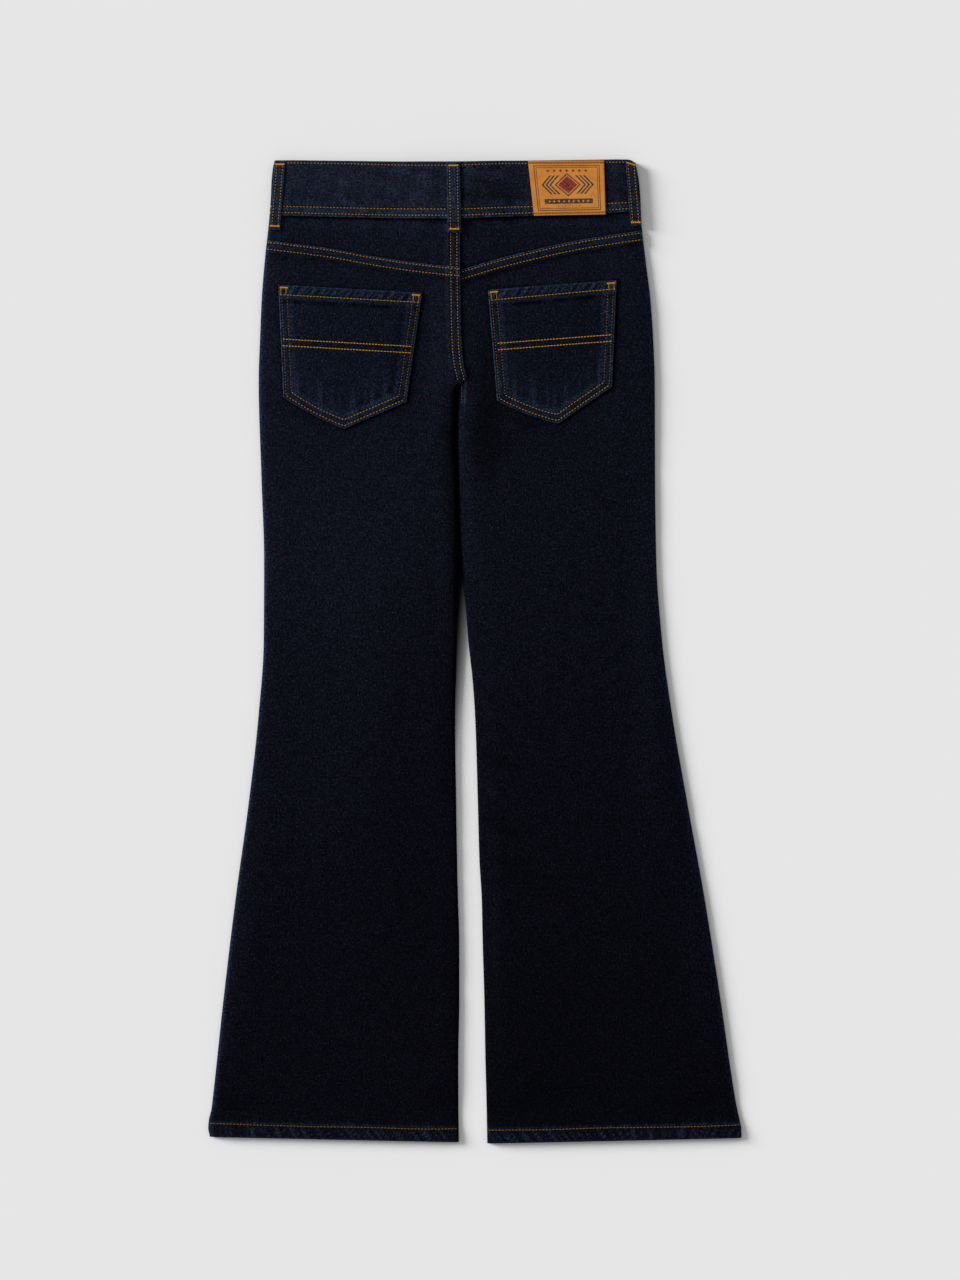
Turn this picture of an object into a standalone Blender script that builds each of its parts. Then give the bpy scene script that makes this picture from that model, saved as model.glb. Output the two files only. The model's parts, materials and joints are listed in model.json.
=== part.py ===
"""Child's flared jeans lying flat on their front, with the back side up.

Metres, +Z up. X runs to the wearer's right, Y from the hems to the waist, and Z up from the
surface that the jeans lie on. The origin is below the middle of the whole garment.

Each piece of cloth is an open grid of points on its outer face, thickened inwards. The height
of a face is worked out from the layers below it, so that a piece lies on its neighbour.
"""
import math

import bmesh
import bpy

MM = 0.001

# Cloth and gaps
WALL = 1.1 * MM  # one layer of denim
BAND_WALL = 1.6 * MM  # waistband, two layers pressed together
HEM_WALL = 2.0 * MM  # leg hem, turned up twice
GAP = 0.3 * MM  # between neighbouring pieces
STEP = WALL + 0.36 * MM  # lift of a piece that laps over one layer

# Lengths, up from the lowest point of the hems
LENGTH = 837.0 * MM
CROTCH = 645.0 * MM
YOKE_LAP = 8.9 * MM  # depth of the lap at the yoke seam
BAND_LAP = 9.5 * MM  # how far the yoke reaches up under the waistband
LOW_Y = -0.5 * LENGTH

# Heights above the surface
FACE = 5.0 * MM  # outer face of the back
FOLD_FALL = 0.6 * MM  # how far that face falls towards a fold
FALL_WIDTH = 16.0 * MM
FOLD_RADIUS = 1.85 * MM
SEAT_LOFT = 0.5 * MM
BAND_FLOOR = 1.5 * MM  # waistband's front layer where its belt loops lift it
FRONT_RECESS = 0.2 * MM  # the front panel lies this much deeper than the waistband
BAND_FACE = 7.0 * MM  # outer face of the waistband's back layer

# Centre front, where the waistband ends lap and button
CENTER_X = -13.0 * MM
LAP_HALF = 18.0 * MM
BUTTON_LIFT = 0.7 * MM
END_LIFT = 2.6 * MM
LUMP = 2.2 * MM  # how far the back is lifted over the lapped ends
BUTTON_RADIUS = 8.5 * MM
BUTTON_HEIGHT = 1.9 * MM

# Where heights change: height above the hems where a slope starts, and its length
FRONT_RISE = (725 * MM, 47 * MM)
SEAT_RISE = (560 * MM, 90 * MM)
SEAT_FALL = (700 * MM, 90 * MM)
LUMP_RISE = (730 * MM, 56 * MM)

# Across the waist: flat over the lapped ends, then a slope down on each side
NEAR_CENTER = (22 * MM, 38 * MM)
FLOOR_RISE = (12 * MM, 45 * MM)  # from a side fold

# Laps
LAP_RISE = 3.4 * MM  # length of the slope beside a lap
YOKE_LEAD = 0.8 * MM  # how far the full lift starts before the lower piece does
SEAT_LEAD = 2.6 * MM
CROSSING_LEAD = 5.5 * MM

TUCK = 3.7 * MM  # how far a yoke's hidden ends stop short of the side fold
TUCK_CLEAR = 0.8 * MM  # from such an end's flat part to the piece that covers it
TUCK_TURN = 5.5 * MM  # length over which it turns into the fold
CURL_RISE = 8.0 * MM  # the inseam's folds end over this length below the crotch
POCKET_GAP = 0.45 * MM
PATCH_WALL = 1.2 * MM
LOOP_WIDTH = 11.4 * MM
SIDE_LOOP_WIDTH = 8.8 * MM  # the side loops turn down towards their folds
LOOP_WALL = 1.2 * MM
LOOP_BELOW = 9.0 * MM  # how far a loop reaches below the waistband
LOOP_END = 1.0 * MM  # from its top end to the waistband's top edge
LOOP_STEP = (2.2 * MM, 4.2 * MM)  # below the waistband, where it steps down to the yoke
FRONT_LOOP_SPAN = 80.0 * MM  # from the centre front to a front loop


class Table:
    """Rows of millimetres under named columns, read along the first column.

    Between rows the value follows a cubic whose slope at a row is the harmonic mean of the
    slopes beside it, or zero at a turn, so it never swings past the rows.
    """

    def __init__(self, columns, rows):
        self.at = [row[0] * MM for row in rows]
        self.values = {
            name: [row[index] * MM for row in rows] for index, name in enumerate(columns)
        }

    def read(self, name, at):
        places, values = self.at, self.values[name]
        at = min(max(at, places[0]), places[-1])
        k = max(i for i in range(len(places) - 1) if places[i] <= at or i == 0)
        slopes = [
            (values[i + 1] - values[i]) / (places[i + 1] - places[i])
            for i in range(len(places) - 1)
        ]

        def tangent(i):
            if i == 0 or i == len(places) - 1:
                return slopes[min(i, len(slopes) - 1)]
            before, after = slopes[i - 1], slopes[i]
            return 0.0 if before * after <= 0 else 2 * before * after / (before + after)

        width = places[k + 1] - places[k]
        t = (at - places[k]) / width
        return (
            values[k] * (1 + 2 * t) * (1 - t) ** 2
            + tangent(k) * width * t * (1 - t) ** 2
            + values[k + 1] * t * t * (3 - 2 * t)
            + tangent(k + 1) * width * t * t * (t - 1)
        )


# Side folds: X of the left and right outer edges, by height above the hems
SIDES = Table(
    ("up", "left", "right"),
    (
        (0, -224.6, 226.2),
        (6, -225.6, 226.8),
        (13, -226.9, 226.6),
        (20, -226.4, 225.2),
        (28, -224.4, 223.4),
        (40, -222.9, 221.1),
        (122, -214.0, 209.0),
        (207, -203.8, 195.6),
        (292, -192.2, 180.3),
        (360, -184.5, 168.5),
        (428, -179.7, 159.2),
        (496, -179.4, 154.3),
        (564, -181.6, 153.3),
        (649, -184.0, 153.0),
        (683, -182.9, 151.7),
        (717, -181.5, 149.4),
        (751, -178.8, 145.2),
        (785, -175.2, 141.6),
        (802, -173.8, 140.9),
        (819, -173.0, 139.4),
        (830, -171.8, 137.4),
        (837, -170.4, 134.6),
    ),
)

# Inner edges of the back: inseams up to the crotch, then the seat seam. The left half laps
# over the right half there, so its edge lies further right.
INNER = Table(
    ("up", "left", "right"),
    (
        (0, -13.7, 10.5),
        (37, -14.1, 9.8),
        (71, -14.2, 8.9),
        (122, -13.3, 8.0),
        (173, -13.4, 6.5),
        (207, -14.4, 5.8),
        (241, -15.2, 3.8),
        (292, -16.0, 2.4),
        (360, -16.9, 0.3),
        (394, -16.3, -2.0),
        (428, -15.6, -5.7),
        (496, -15.9, -10.5),
        (530, -16.2, -13.3),
        (564, -16.9, -13.7),
        (615, -18.4, -13.7),
        (632, -18.4, -12.2),
        (641, -17.9, -11.8),
        (645, -15.9, -12.6),
        (650, -6.8, -15.4),
        (660, -9.3, -16.6),
        (681, -11.4, -18.4),
        (714, -12.2, -19.2),
        (768, -12.7, -19.7),
        (837, -12.7, -19.7),
    ),
)

# Inner edges of the front, which meet at the centre front without a lap
FRONT_INNER = Table(
    ("up", "left", "right"),
    tuple(
        (up, INNER.read("left", up * MM) / MM, INNER.read("right", up * MM) / MM)
        for up in (0, 37, 71, 122, 173, 207, 241, 292, 360, 394, 428, 496, 530, 564, 615, 632)
    )
    + ((641, -17.6, -11.9), (650, -13.5, -13.1), (660, -13.2, -12.8), (837, -13.2, -12.8)),
)

# Seams that run across, as Y by X: the leg panel's folded edge at the yoke seam, the
# waistband's lower and upper edges, and the hems
YOKE_SEAM = {
    "left": Table(
        ("x", "y"),
        ((-178, 349.5), (-123, 342.3), (-89, 336.2), (-55, 330.9), (-13, 326.4), (0, 325.4)),
    ),
    "right": Table(
        ("x", "y"),
        ((-24, 320.9), (-12, 324.1), (18, 333.0), (54, 342.0), (90, 349.7), (142, 357.8)),
    ),
}
BAND_EDGES = Table(
    ("x", "low", "top"),
    (
        (-176, 370.6, 417.6),
        (-100, 368.7, 416.7),
        (-24, 367.5, 415.9),
        (42, 369.8, 417.0),
        (110, 372.4, 417.9),
        (141, 374.2, 418.5),
    ),
)
HEMS = {
    "left": Table(("x", "y"), ((-227, -412.8), (-13, -417.4))),
    "right": Table(("x", "y"), ((10, -418.5), (227, -413.8))),
}

# Patch pockets: the corners of each, in millimetres
POCKETS = {
    "left": {
        "top_left": (-167.0, 311.5),
        "top_right": (-44.9, 304.6),
        "low_left": (-162.7, 215.9),
        "tip": (-111.4, 189.0),
        "low_right": (-58.2, 212.0),
    },
    "right": {
        "top_left": (11.1, 307.2),
        "top_right": (120.4, 315.4),
        "low_left": (19.0, 212.9),
        "tip": (70.5, 193.4),
        "low_right": (116.4, 224.8),
    },
}

# The patch covers the waistband's whole height
PATCH_CORNERS = {
    "low_left": (50.2, 369.9),
    "low_right": (111.1, 371.0),
    "top_left": (45.0, 416.6),
    "top_right": (109.7, 417.0),
}

COLORS = {
    "denim": (0.0060, 0.0068, 0.0130),
    "denim_worn": (0.0095, 0.0120, 0.0240),
    "patch": (0.42, 0.19, 0.060),
    "copper": (0.45, 0.22, 0.10),
}


# Small helpers ---------------------------------------------------------------------------


def ease(value):
    """0 up to 0, 1 from 1, and a smooth S between."""
    value = min(max(value, 0.0), 1.0)
    return value * value * (3.0 - 2.0 * value)


def mix(a, b, share):
    return a + (b - a) * share


def up_of(y):
    return y - LOW_Y


def slope(value, start_and_length):
    start, length = start_and_length
    return ease((value - start) / length)


def near_center(x):
    """1 over the buttoned lap at the centre front, 0 from 60 mm away."""
    return 1.0 - slope(abs(x - CENTER_X), NEAR_CENTER)


def lapped(past, lead, length=LAP_RISE):
    """1 where a piece lies over another's edge, from lead before it; past is beyond the edge."""
    return ease((past + lead + length) / length)


# Heights of the faces ---------------------------------------------------------------------


def band_floor(x):
    """Height of the waistband's front layer: down at the side folds, up over its loops."""
    side = "left" if x < CENTER_X else "right"
    away = abs(x - SIDES.read(side, up_of(BAND_EDGES.read("low", x))))
    return BAND_FLOOR * slope(away, FLOOR_RISE)


def front_face(x, y):
    """Height of the front's outer face: on the surface, and lifted to meet the waistband."""
    start, length = FRONT_RISE
    rise = min(max((up_of(y) - start) / length, 0.0), 1.0)
    recess = FRONT_RECESS * band_floor(x) / BAND_FLOOR
    return rise * (band_floor(x) + recess + BUTTON_LIFT * near_center(x))


def fold_fall(distance):
    """How far the back has fallen at a distance from a fold."""
    share = min(max(1.0 - distance / FALL_WIDTH, 0.0), 1.0)
    return FOLD_FALL * share * share


def curl_share(y):
    """1 where the inner edge is a fold, below the crotch, and 0 where it lies flat above."""
    return 1.0 - slope(up_of(y), (CROTCH - CURL_RISE, CURL_RISE))


def back_face(side, x, y):
    """Height of the back's outer face with no lap: layers, seat, folds and the button's lump."""
    up = up_of(y)
    seat = SEAT_LOFT * slope(up, SEAT_RISE) * (1.0 - slope(up, SEAT_FALL))
    lump = LUMP * near_center(x) * slope(up, LUMP_RISE)
    outer = abs(x - SIDES.read(side, up))
    inner = abs(x - INNER.read(side, up))
    falls = fold_fall(outer) + fold_fall(inner) * curl_share(y)
    return FACE + seat + lump - falls


def over_right_half(x, y):
    """1 where a left piece lies over the right half at the seat seam."""
    return lapped(x - INNER.read("right", up_of(y)), SEAT_LEAD)


def over_yoke(side, x, y):
    """1 where a back panel laps over its yoke."""
    return lapped(y - YOKE_SEAM[side].read("y", x) + YOKE_LAP, YOKE_LEAD)


def over_right_lap(x, y):
    """1 where the right half's own yoke lap lies under the left half, 0 above and below."""
    past = YOKE_SEAM["right"].read("y", x) - y
    return lapped(past, CROSSING_LEAD) * over_yoke("right", x, y)


def yoke_lift(side, x, y):
    """Lift of a yoke: the left one lies over the right half at the seat seam."""
    if side == "right":
        return 0.0
    return STEP * over_right_half(x, y) * (1.0 + over_right_lap(x, y))


def leg_lift(side, x, y):
    """Lift of a back panel over its yoke and, on the left, over the right half."""
    return STEP * over_yoke(side, x, y) + yoke_lift(side, x, y)


def band_face(x):
    """Height of the outer face of the waistband's back layer."""
    return BAND_FACE + (LUMP + STEP) * near_center(x)


# Building ---------------------------------------------------------------------------------


def material(name, roughness, metallic=0.0):
    made = bpy.data.materials.get(name)
    if made is None:
        made = bpy.data.materials.new(name)
        made.use_nodes = True
        shader = made.node_tree.nodes["Principled BSDF"]
        shader.inputs["Base Color"].default_value = (*COLORS[name], 1.0)
        shader.inputs["Roughness"].default_value = roughness
        shader.inputs["Metallic"].default_value = metallic
    return made


def add_object(name, mesh, finish):
    mesh.materials.append(finish)
    piece = bpy.data.objects.new(name, mesh)
    garment.objects.link(piece)
    return piece


def cloth(name, points, wall, finish, flip=False, thick=None):
    """A sheet through rows of points on its outer face, with its wall on the inner side.

    The outer face looks up where columns go to +X and rows to +Y, and flip turns it over.
    thick gives the first rows another wall: (rows, wall, columns left out at each side).
    """
    rows, columns = len(points), len(points[0])
    bm = bmesh.new()
    bmesh.ops.create_grid(bm, x_segments=columns - 1, y_segments=rows - 1, size=0.5)
    for index, vert in enumerate(bm.verts):
        vert.co = points[index // columns][index % columns]
    if flip:
        bmesh.ops.reverse_faces(bm, faces=bm.faces)
    mesh = bpy.data.meshes.new(name)
    bm.to_mesh(mesh)
    bm.free()
    mesh.shade_smooth()
    piece = add_object(name, mesh, finish)
    solidify = piece.modifiers.new("wall", "SOLIDIFY")
    solidify.thickness = wall
    solidify.offset = -1.0
    if thick:
        thick_rows, solidify.thickness, margin = thick
        group = piece.vertex_groups.new(name="wall")
        for index in range(rows * columns):
            row, column = divmod(index, columns)
            full = row < thick_rows and margin <= column < columns - margin
            group.add([index], 1.0 if full else wall / solidify.thickness, "REPLACE")
        solidify.vertex_group = group.name
    return piece


def fold_columns(edge, turns=(0, 30, 60, 90), seam=True):
    """Columns round a fold at one edge: the seam, then points of the arc by their turn.

    A column is its edge (0 outer, 1 inner), its distance in from that edge where the cloth
    lies flat and where it is folded, and how far a fold brings it below the face, or None at
    the seam, whose height is halfway between the front and the back.
    """
    columns = [(edge, 0.0, 0.0, None)] if seam else []
    for k, turn in enumerate(turns):
        turned = math.radians(turn)
        inset, drop = FOLD_RADIUS * (1 - math.cos(turned)), FOLD_RADIUS * (1 - math.sin(turned))
        columns.append((edge, (0.5 + 0.5 * k) * MM, inset, drop))
    return columns


def flat_columns(edge, insets):
    return [(edge, inset * MM, inset * MM, 0.0) for inset in insets]


def middle_columns(count, inset):
    return [(k / (count + 1), inset * MM, inset * MM, 0.0) for k in range(1, count + 1)]


def column_x(column, outer, inner, curl=1.0):
    """X of a column between its row's outer and inner edges."""
    edge, flat_inset, fold_inset, _ = column
    inset = mix(flat_inset, fold_inset, curl)
    inward = math.copysign(1.0, inner - outer)
    return mix(outer + inset * inward, inner - inset * inward, edge)


# Pieces -----------------------------------------------------------------------------------

# Rows of a leg panel, as heights at its inner edge, with more at the hem and the crotch
HEM_ROWS = (0, 5, 9.5, 13, 17)
THICK_ROWS = 4
LEG_ROWS = (24, 36, 60, 100, 150, 200, 250, 300, 350, 400, 450, 500, 550, 595, 622)
CROTCH_ROWS = (634, 638, 641, 643, 645, 647, 650, 655, 664, 685, 712)
FRONT_CROTCH_ROWS = (634, 638, 641, 644, 648, 655, 680)
FRONT_TOP_ROWS = (725, 740, 755, 770)
YOKE_LAP_ROWS = (-13.5, -9.8, -4.5, 0)  # from the top edge
FALL_INSET = 16  # millimetres from a fold to the evenly spaced columns
SEAM_INSETS = (17, 13, 9.6, 5.4)  # millimetres, for the slope and the flat of the seat lap
FOLD_POINTS = 5


def build_back_leg(side):
    """A back panel from the hem to its folded edge over the yoke."""
    seam = YOKE_SEAM[side]
    top = up_of(seam.read("y", INNER.read(side, LUMP_RISE[0])))
    heights = [h * MM for h in HEM_ROWS + LEG_ROWS + CROTCH_ROWS]
    heights += [top + h * MM for h in YOKE_LAP_ROWS]
    columns = fold_columns(0) + flat_columns(0, (5, 10)) + middle_columns(5, FALL_INSET)
    columns += flat_columns(1, SEAM_INSETS) + fold_columns(1)[::-1]

    def point(column, height):
        outer, inner = SIDES.read(side, height), INNER.read(side, height)
        x = column_x(column, outer, inner)
        y = mix(HEMS[side].read("y", x), seam.read("y", x), height / top)
        curl = curl_share(y) if column[0] == 1 else 1.0
        outer, inner = SIDES.read(side, up_of(y)), INNER.read(side, up_of(y))
        x = column_x(column, outer, inner, curl)
        face, drop = back_face(side, x, y), column[3]
        if drop is None:
            meet = 0.5 * (front_face(x, y) + face) + 0.5 * GAP
            z = mix(face + leg_lift(side, x, y), meet, curl)
        else:
            z = face + leg_lift(side, x, y) - drop * curl
        return x, y, z

    points = [[point(column, height) for column in columns] for height in heights]
    return cloth(
        "back_leg_" + side, points, WALL, material("denim", 0.85),
        flip=side == "right", thick=(THICK_ROWS, HEM_WALL, FOLD_POINTS),
    )


def build_front_leg(side):
    """A front panel, flat on the surface, from the hem to the waistband's lower edge."""
    rows = HEM_ROWS + LEG_ROWS + FRONT_CROTCH_ROWS + FRONT_TOP_ROWS
    top = up_of(BAND_EDGES.read("low", CENTER_X)) - GAP
    heights = [h * MM for h in rows] + [top]
    columns = fold_columns(0) + flat_columns(0, (8,)) + middle_columns(3, FALL_INSET)
    columns += flat_columns(1, (8,)) + fold_columns(1)[::-1]

    def point(column, height):
        outer, inner = SIDES.read(side, height), FRONT_INNER.read(side, height)
        x = column_x(column, outer, inner)
        y = mix(HEMS[side].read("y", x), BAND_EDGES.read("low", x) - GAP, height / top)
        curl = curl_share(y) if column[0] == 1 else 1.0
        outer, inner = SIDES.read(side, up_of(y)), FRONT_INNER.read(side, up_of(y))
        x = column_x(column, outer, inner, curl)
        floor, drop = front_face(x, y), column[3]
        if drop is None:
            meet = 0.5 * (floor + back_face(side, x, y)) - 0.5 * GAP
            z = mix(floor, meet, curl)
        else:
            z = floor + drop * curl
        return x, y, z

    points = [[point(column, height) for column in columns] for height in heights]
    return cloth(
        "front_leg_" + side, points, WALL, material("denim", 0.85),
        flip=side == "left", thick=(THICK_ROWS, HEM_WALL, FOLD_POINTS),
    )


def build_yoke(side):
    """A yoke from under the back panel's edge to under the waistband.

    Under both laps it is flat and stops short of the side fold; between them it turns round
    the fold to meet the front.
    """
    seam = YOKE_SEAM[side]
    columns = fold_columns(0, turns=(25, 45, 65, 90), seam=False)
    columns += flat_columns(0, (5, 10)) + middle_columns(4, FALL_INSET)
    columns += flat_columns(1, SEAM_INSETS + (0,))
    rows = ("hidden low", "lap", "free low", "third", "two thirds", "free top", "band", "hidden top")

    def row_y(row, x):
        edge, band = seam.read("y", x), BAND_EDGES.read("low", x)
        free_low = edge + TUCK_CLEAR + TUCK_TURN
        free_top = band - TUCK_CLEAR - TUCK_TURN
        return {
            "hidden low": edge - YOKE_LAP,
            "lap": edge + TUCK_CLEAR,
            "free low": free_low,
            "third": mix(free_low, free_top, 1 / 3),
            "two thirds": mix(free_low, free_top, 2 / 3),
            "free top": free_top,
            "band": band - TUCK_CLEAR,
            "hidden top": band + BAND_LAP,
        }[row]

    def point(column, row):
        tucked = row in ("hidden low", "lap", "band", "hidden top")
        y = seam.read("y", 0.0)
        for _ in range(3):
            outer, inner = SIDES.read(side, up_of(y)), INNER.read(side, up_of(y))
            if tucked:
                outer += math.copysign(TUCK, inner - outer)
            x = column_x(column, outer, inner, 0.0 if tucked else 1.0)
            y = row_y(row, x)
        top = back_face(side, x, y) + yoke_lift(side, x, y)
        return x, y, top if tucked else top - column[3]

    points = [[point(column, row) for column in columns] for row in rows]
    return cloth("yoke_" + side, points, WALL, material("denim", 0.85), flip=side == "right")


def build_waistband():
    """One band from its over-lapping end round both side folds to its under-lapping end."""
    radius = 0.5 * BAND_FACE
    stations = [("over", k / 9) for k in range(9)]
    stations += [("left fold", k * 30) for k in range(7)]
    stations += [("back", k / 23) for k in range(1, 23)]
    stations += [("right fold", k * 30) for k in range(7)]
    stations += [("under", k / 9) for k in range(1, 10)]

    def point(station, share):
        kind, value = station
        x = 0.0
        for _ in range(3):
            y = mix(BAND_EDGES.read("low", x), BAND_EDGES.read("top", x), share)
            left = SIDES.read("left", up_of(y)) + radius
            right = SIDES.read("right", up_of(y)) - radius
            turn = math.radians(value)
            if kind == "over":
                x = mix(CENTER_X + LAP_HALF, left, value)
                z = band_floor(x) + BUTTON_LIFT * near_center(x)
            elif kind == "left fold":
                x = left - radius * math.sin(turn)
                z = radius * (1 - math.cos(turn))
            elif kind == "back":
                x = mix(left, right, value)
                z = band_face(x)
            elif kind == "right fold":
                x = right + radius * math.sin(turn)
                z = BAND_FACE - radius * (1 - math.cos(turn))
            else:
                x = mix(right, CENTER_X - LAP_HALF, value)
                z = band_floor(x) + END_LIFT * near_center(x)
        return x, y, z

    shares = (0, 0.25, 0.5, 0.75, 1)
    points = [[point(station, share) for station in stations] for share in shares]
    return cloth("waistband", points, BAND_WALL, material("denim_worn", 0.85))


def over_fold(face, radius, depth, above):
    """Height above a face that rounds off at a fold, at a depth in from it, moved out by above."""
    fall = min(max(radius - depth, 0.0), 0.7 * radius)
    level = math.sqrt(radius**2 - fall**2) / radius  # 1 on the flat, less on the round
    return face - radius * (1 - level) + above / level


def over_band(x, y, above):
    """Height above the waistband's back layer, rounded at the side folds."""
    up = up_of(y)
    depth = min(x - SIDES.read("left", up), SIDES.read("right", up) - x)
    return over_fold(band_face(x), 0.5 * BAND_FACE, depth, above)


def over_yoke_face(side, x, y, above):
    """Height above a yoke's outer face, rounded at its side fold."""
    depth = abs(x - SIDES.read(side, up_of(y)))
    return over_fold(back_face(side, x, y) + yoke_lift(side, x, y), FOLD_RADIUS, depth, above)


def build_back_loop(name, side, top_x, low_x, width):
    """A belt loop from the waistband's top edge down on to the yoke.

    top_x and low_x are the X of its left edge at the two ends.
    """
    shares = (0, 0.25, 0.5, 0.7, 0.82, 0.9, 1)

    def point(column, share):
        x = mix(top_x, low_x, share) + width * column / 4
        top = BAND_EDGES.read("top", x) - LOOP_END
        low = BAND_EDGES.read("low", x) - LOOP_BELOW
        y = mix(top, low, share)
        off_band = slope(BAND_EDGES.read("low", x) - y, LOOP_STEP)
        above = GAP + LOOP_WALL
        return x, y, mix(over_band(x, y, above), over_yoke_face(side, x, y, above), off_band)

    points = [[point(column, share) for column in range(5)] for share in shares[::-1]]
    return cloth(name, points, LOOP_WALL, material("denim_worn", 0.85))


def build_front_loop(name, x):
    """A belt loop on the hidden front, flat on the surface under the waistband."""
    points = []
    for row in range(6):
        low = BAND_EDGES.read("low", x) - LOOP_BELOW
        y = mix(low, BAND_EDGES.read("top", x) - LOOP_END, row / 5)
        points.append([(x + LOOP_WIDTH * (column / 3 - 0.5), y, 0.0) for column in range(4)])
    return cloth(name, points, LOOP_WALL, material("denim_worn", 0.85), flip=True)


def build_pocket(side):
    """A patch pocket with a pointed lower edge, made from the back panel's face, moved out."""
    corner = {name: (x * MM, y * MM) for name, (x, y) in POCKETS[side].items()}
    down = (0, 0.08, 0.2, 0.35, 0.5, 0.65, 0.8, 0.9, 1)
    columns = 12

    def point(column, share):
        across = column / columns
        start, end, part = ("low_left", "tip", 2 * across)
        if across > 0.5:
            start, end, part = ("tip", "low_right", 2 * across - 1)
        x_top, y_top = (mix(corner["top_left"][k], corner["top_right"][k], across) for k in (0, 1))
        x_low, y_low = (mix(corner[start][k], corner[end][k], part) for k in (0, 1))
        x, y = mix(x_top, x_low, share), mix(y_top, y_low, share)
        panel = back_face(side, x, y) + leg_lift(side, x, y)
        return x, y, panel + POCKET_GAP + WALL

    points = [[point(column, share) for column in range(columns + 1)] for share in down[::-1]]
    return cloth("pocket_" + side, points, WALL, material("denim_worn", 0.85))


def build_patch():
    """A stiff patch over the whole height of the waistband, right of the centre."""
    corner = {name: (x * MM, y * MM) for name, (x, y) in PATCH_CORNERS.items()}

    def point(across, share):
        low = [mix(corner["low_left"][k], corner["low_right"][k], across) for k in (0, 1)]
        top = [mix(corner["top_left"][k], corner["top_right"][k], across) for k in (0, 1)]
        x, y = (mix(low[k], top[k], share) for k in (0, 1))
        return x, y, band_face(x) + GAP + PATCH_WALL

    points = [[point(column / 6, row / 4) for column in range(7)] for row in range(5)]
    return cloth("patch", points, PATCH_WALL, material("patch", 0.6))


def build_button():
    """A metal button on the surface: a dished face below, a rounded rim and a flat back."""
    radius, height = BUTTON_RADIUS, BUTTON_HEIGHT
    profile = (
        (0, height),
        (radius - 1.6 * MM, height),
        (radius - 0.4 * MM, height - 0.4 * MM),
        (radius, 0.5 * height),
        (radius - 0.3 * MM, 0.2 * MM),
        (radius - 0.9 * MM, 0),
        (radius - 1.7 * MM, 0),
        (radius - 2.1 * MM, 0.3 * MM),
        (0, 0.3 * MM),
    )
    mesh = bpy.data.meshes.new("button")
    edges = [(k, k + 1) for k in range(len(profile) - 1)]
    mesh.from_pydata([(x, 0, z) for x, z in profile], edges, [])
    piece = add_object("button", mesh, material("copper", 0.35, 1.0))
    low, top = BAND_EDGES.read("low", CENTER_X), BAND_EDGES.read("top", CENTER_X)
    piece.location = (CENTER_X, 0.5 * (low + top), 0)
    screw = piece.modifiers.new("turn", "SCREW")
    screw.steps = screw.render_steps = 32
    screw.use_merge_vertices = True
    screw.merge_threshold = 0.00001
    screw.use_normal_calculate = True
    return piece


for old in list(bpy.data.objects):
    bpy.data.objects.remove(old)
garment = bpy.data.collections.new("flared_jeans")
bpy.context.scene.collection.children.link(garment)

for side in ("left", "right"):
    build_back_leg(side)
    build_front_leg(side)
    build_yoke(side)
    build_pocket(side)
build_waistband()
build_back_loop("belt_loop_side_left", "left", -169.1 * MM, -173.8 * MM, SIDE_LOOP_WIDTH)
build_back_loop("belt_loop_back", "left", -24.2 * MM, -23.1 * MM, LOOP_WIDTH)
build_back_loop("belt_loop_side_right", "right", 126.9 * MM, 131.6 * MM, SIDE_LOOP_WIDTH)
build_front_loop("belt_loop_front_left", CENTER_X - FRONT_LOOP_SPAN)
build_front_loop("belt_loop_front_right", CENTER_X + FRONT_LOOP_SPAN)
build_patch()
build_button()
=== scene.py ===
"""Child's flared jeans laid flat with the back up: cloth, seams, stitching, trim, floor and light.

X runs to the wearer's right, Y from the hems to the waist, and Z up from the surface. Lengths are
in millimetres until a piece is made. Every piece of cloth is a fine grid of points on its outer
face, whose height is worked out from the layers below it, with a wall on its inner side.
"""

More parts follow.
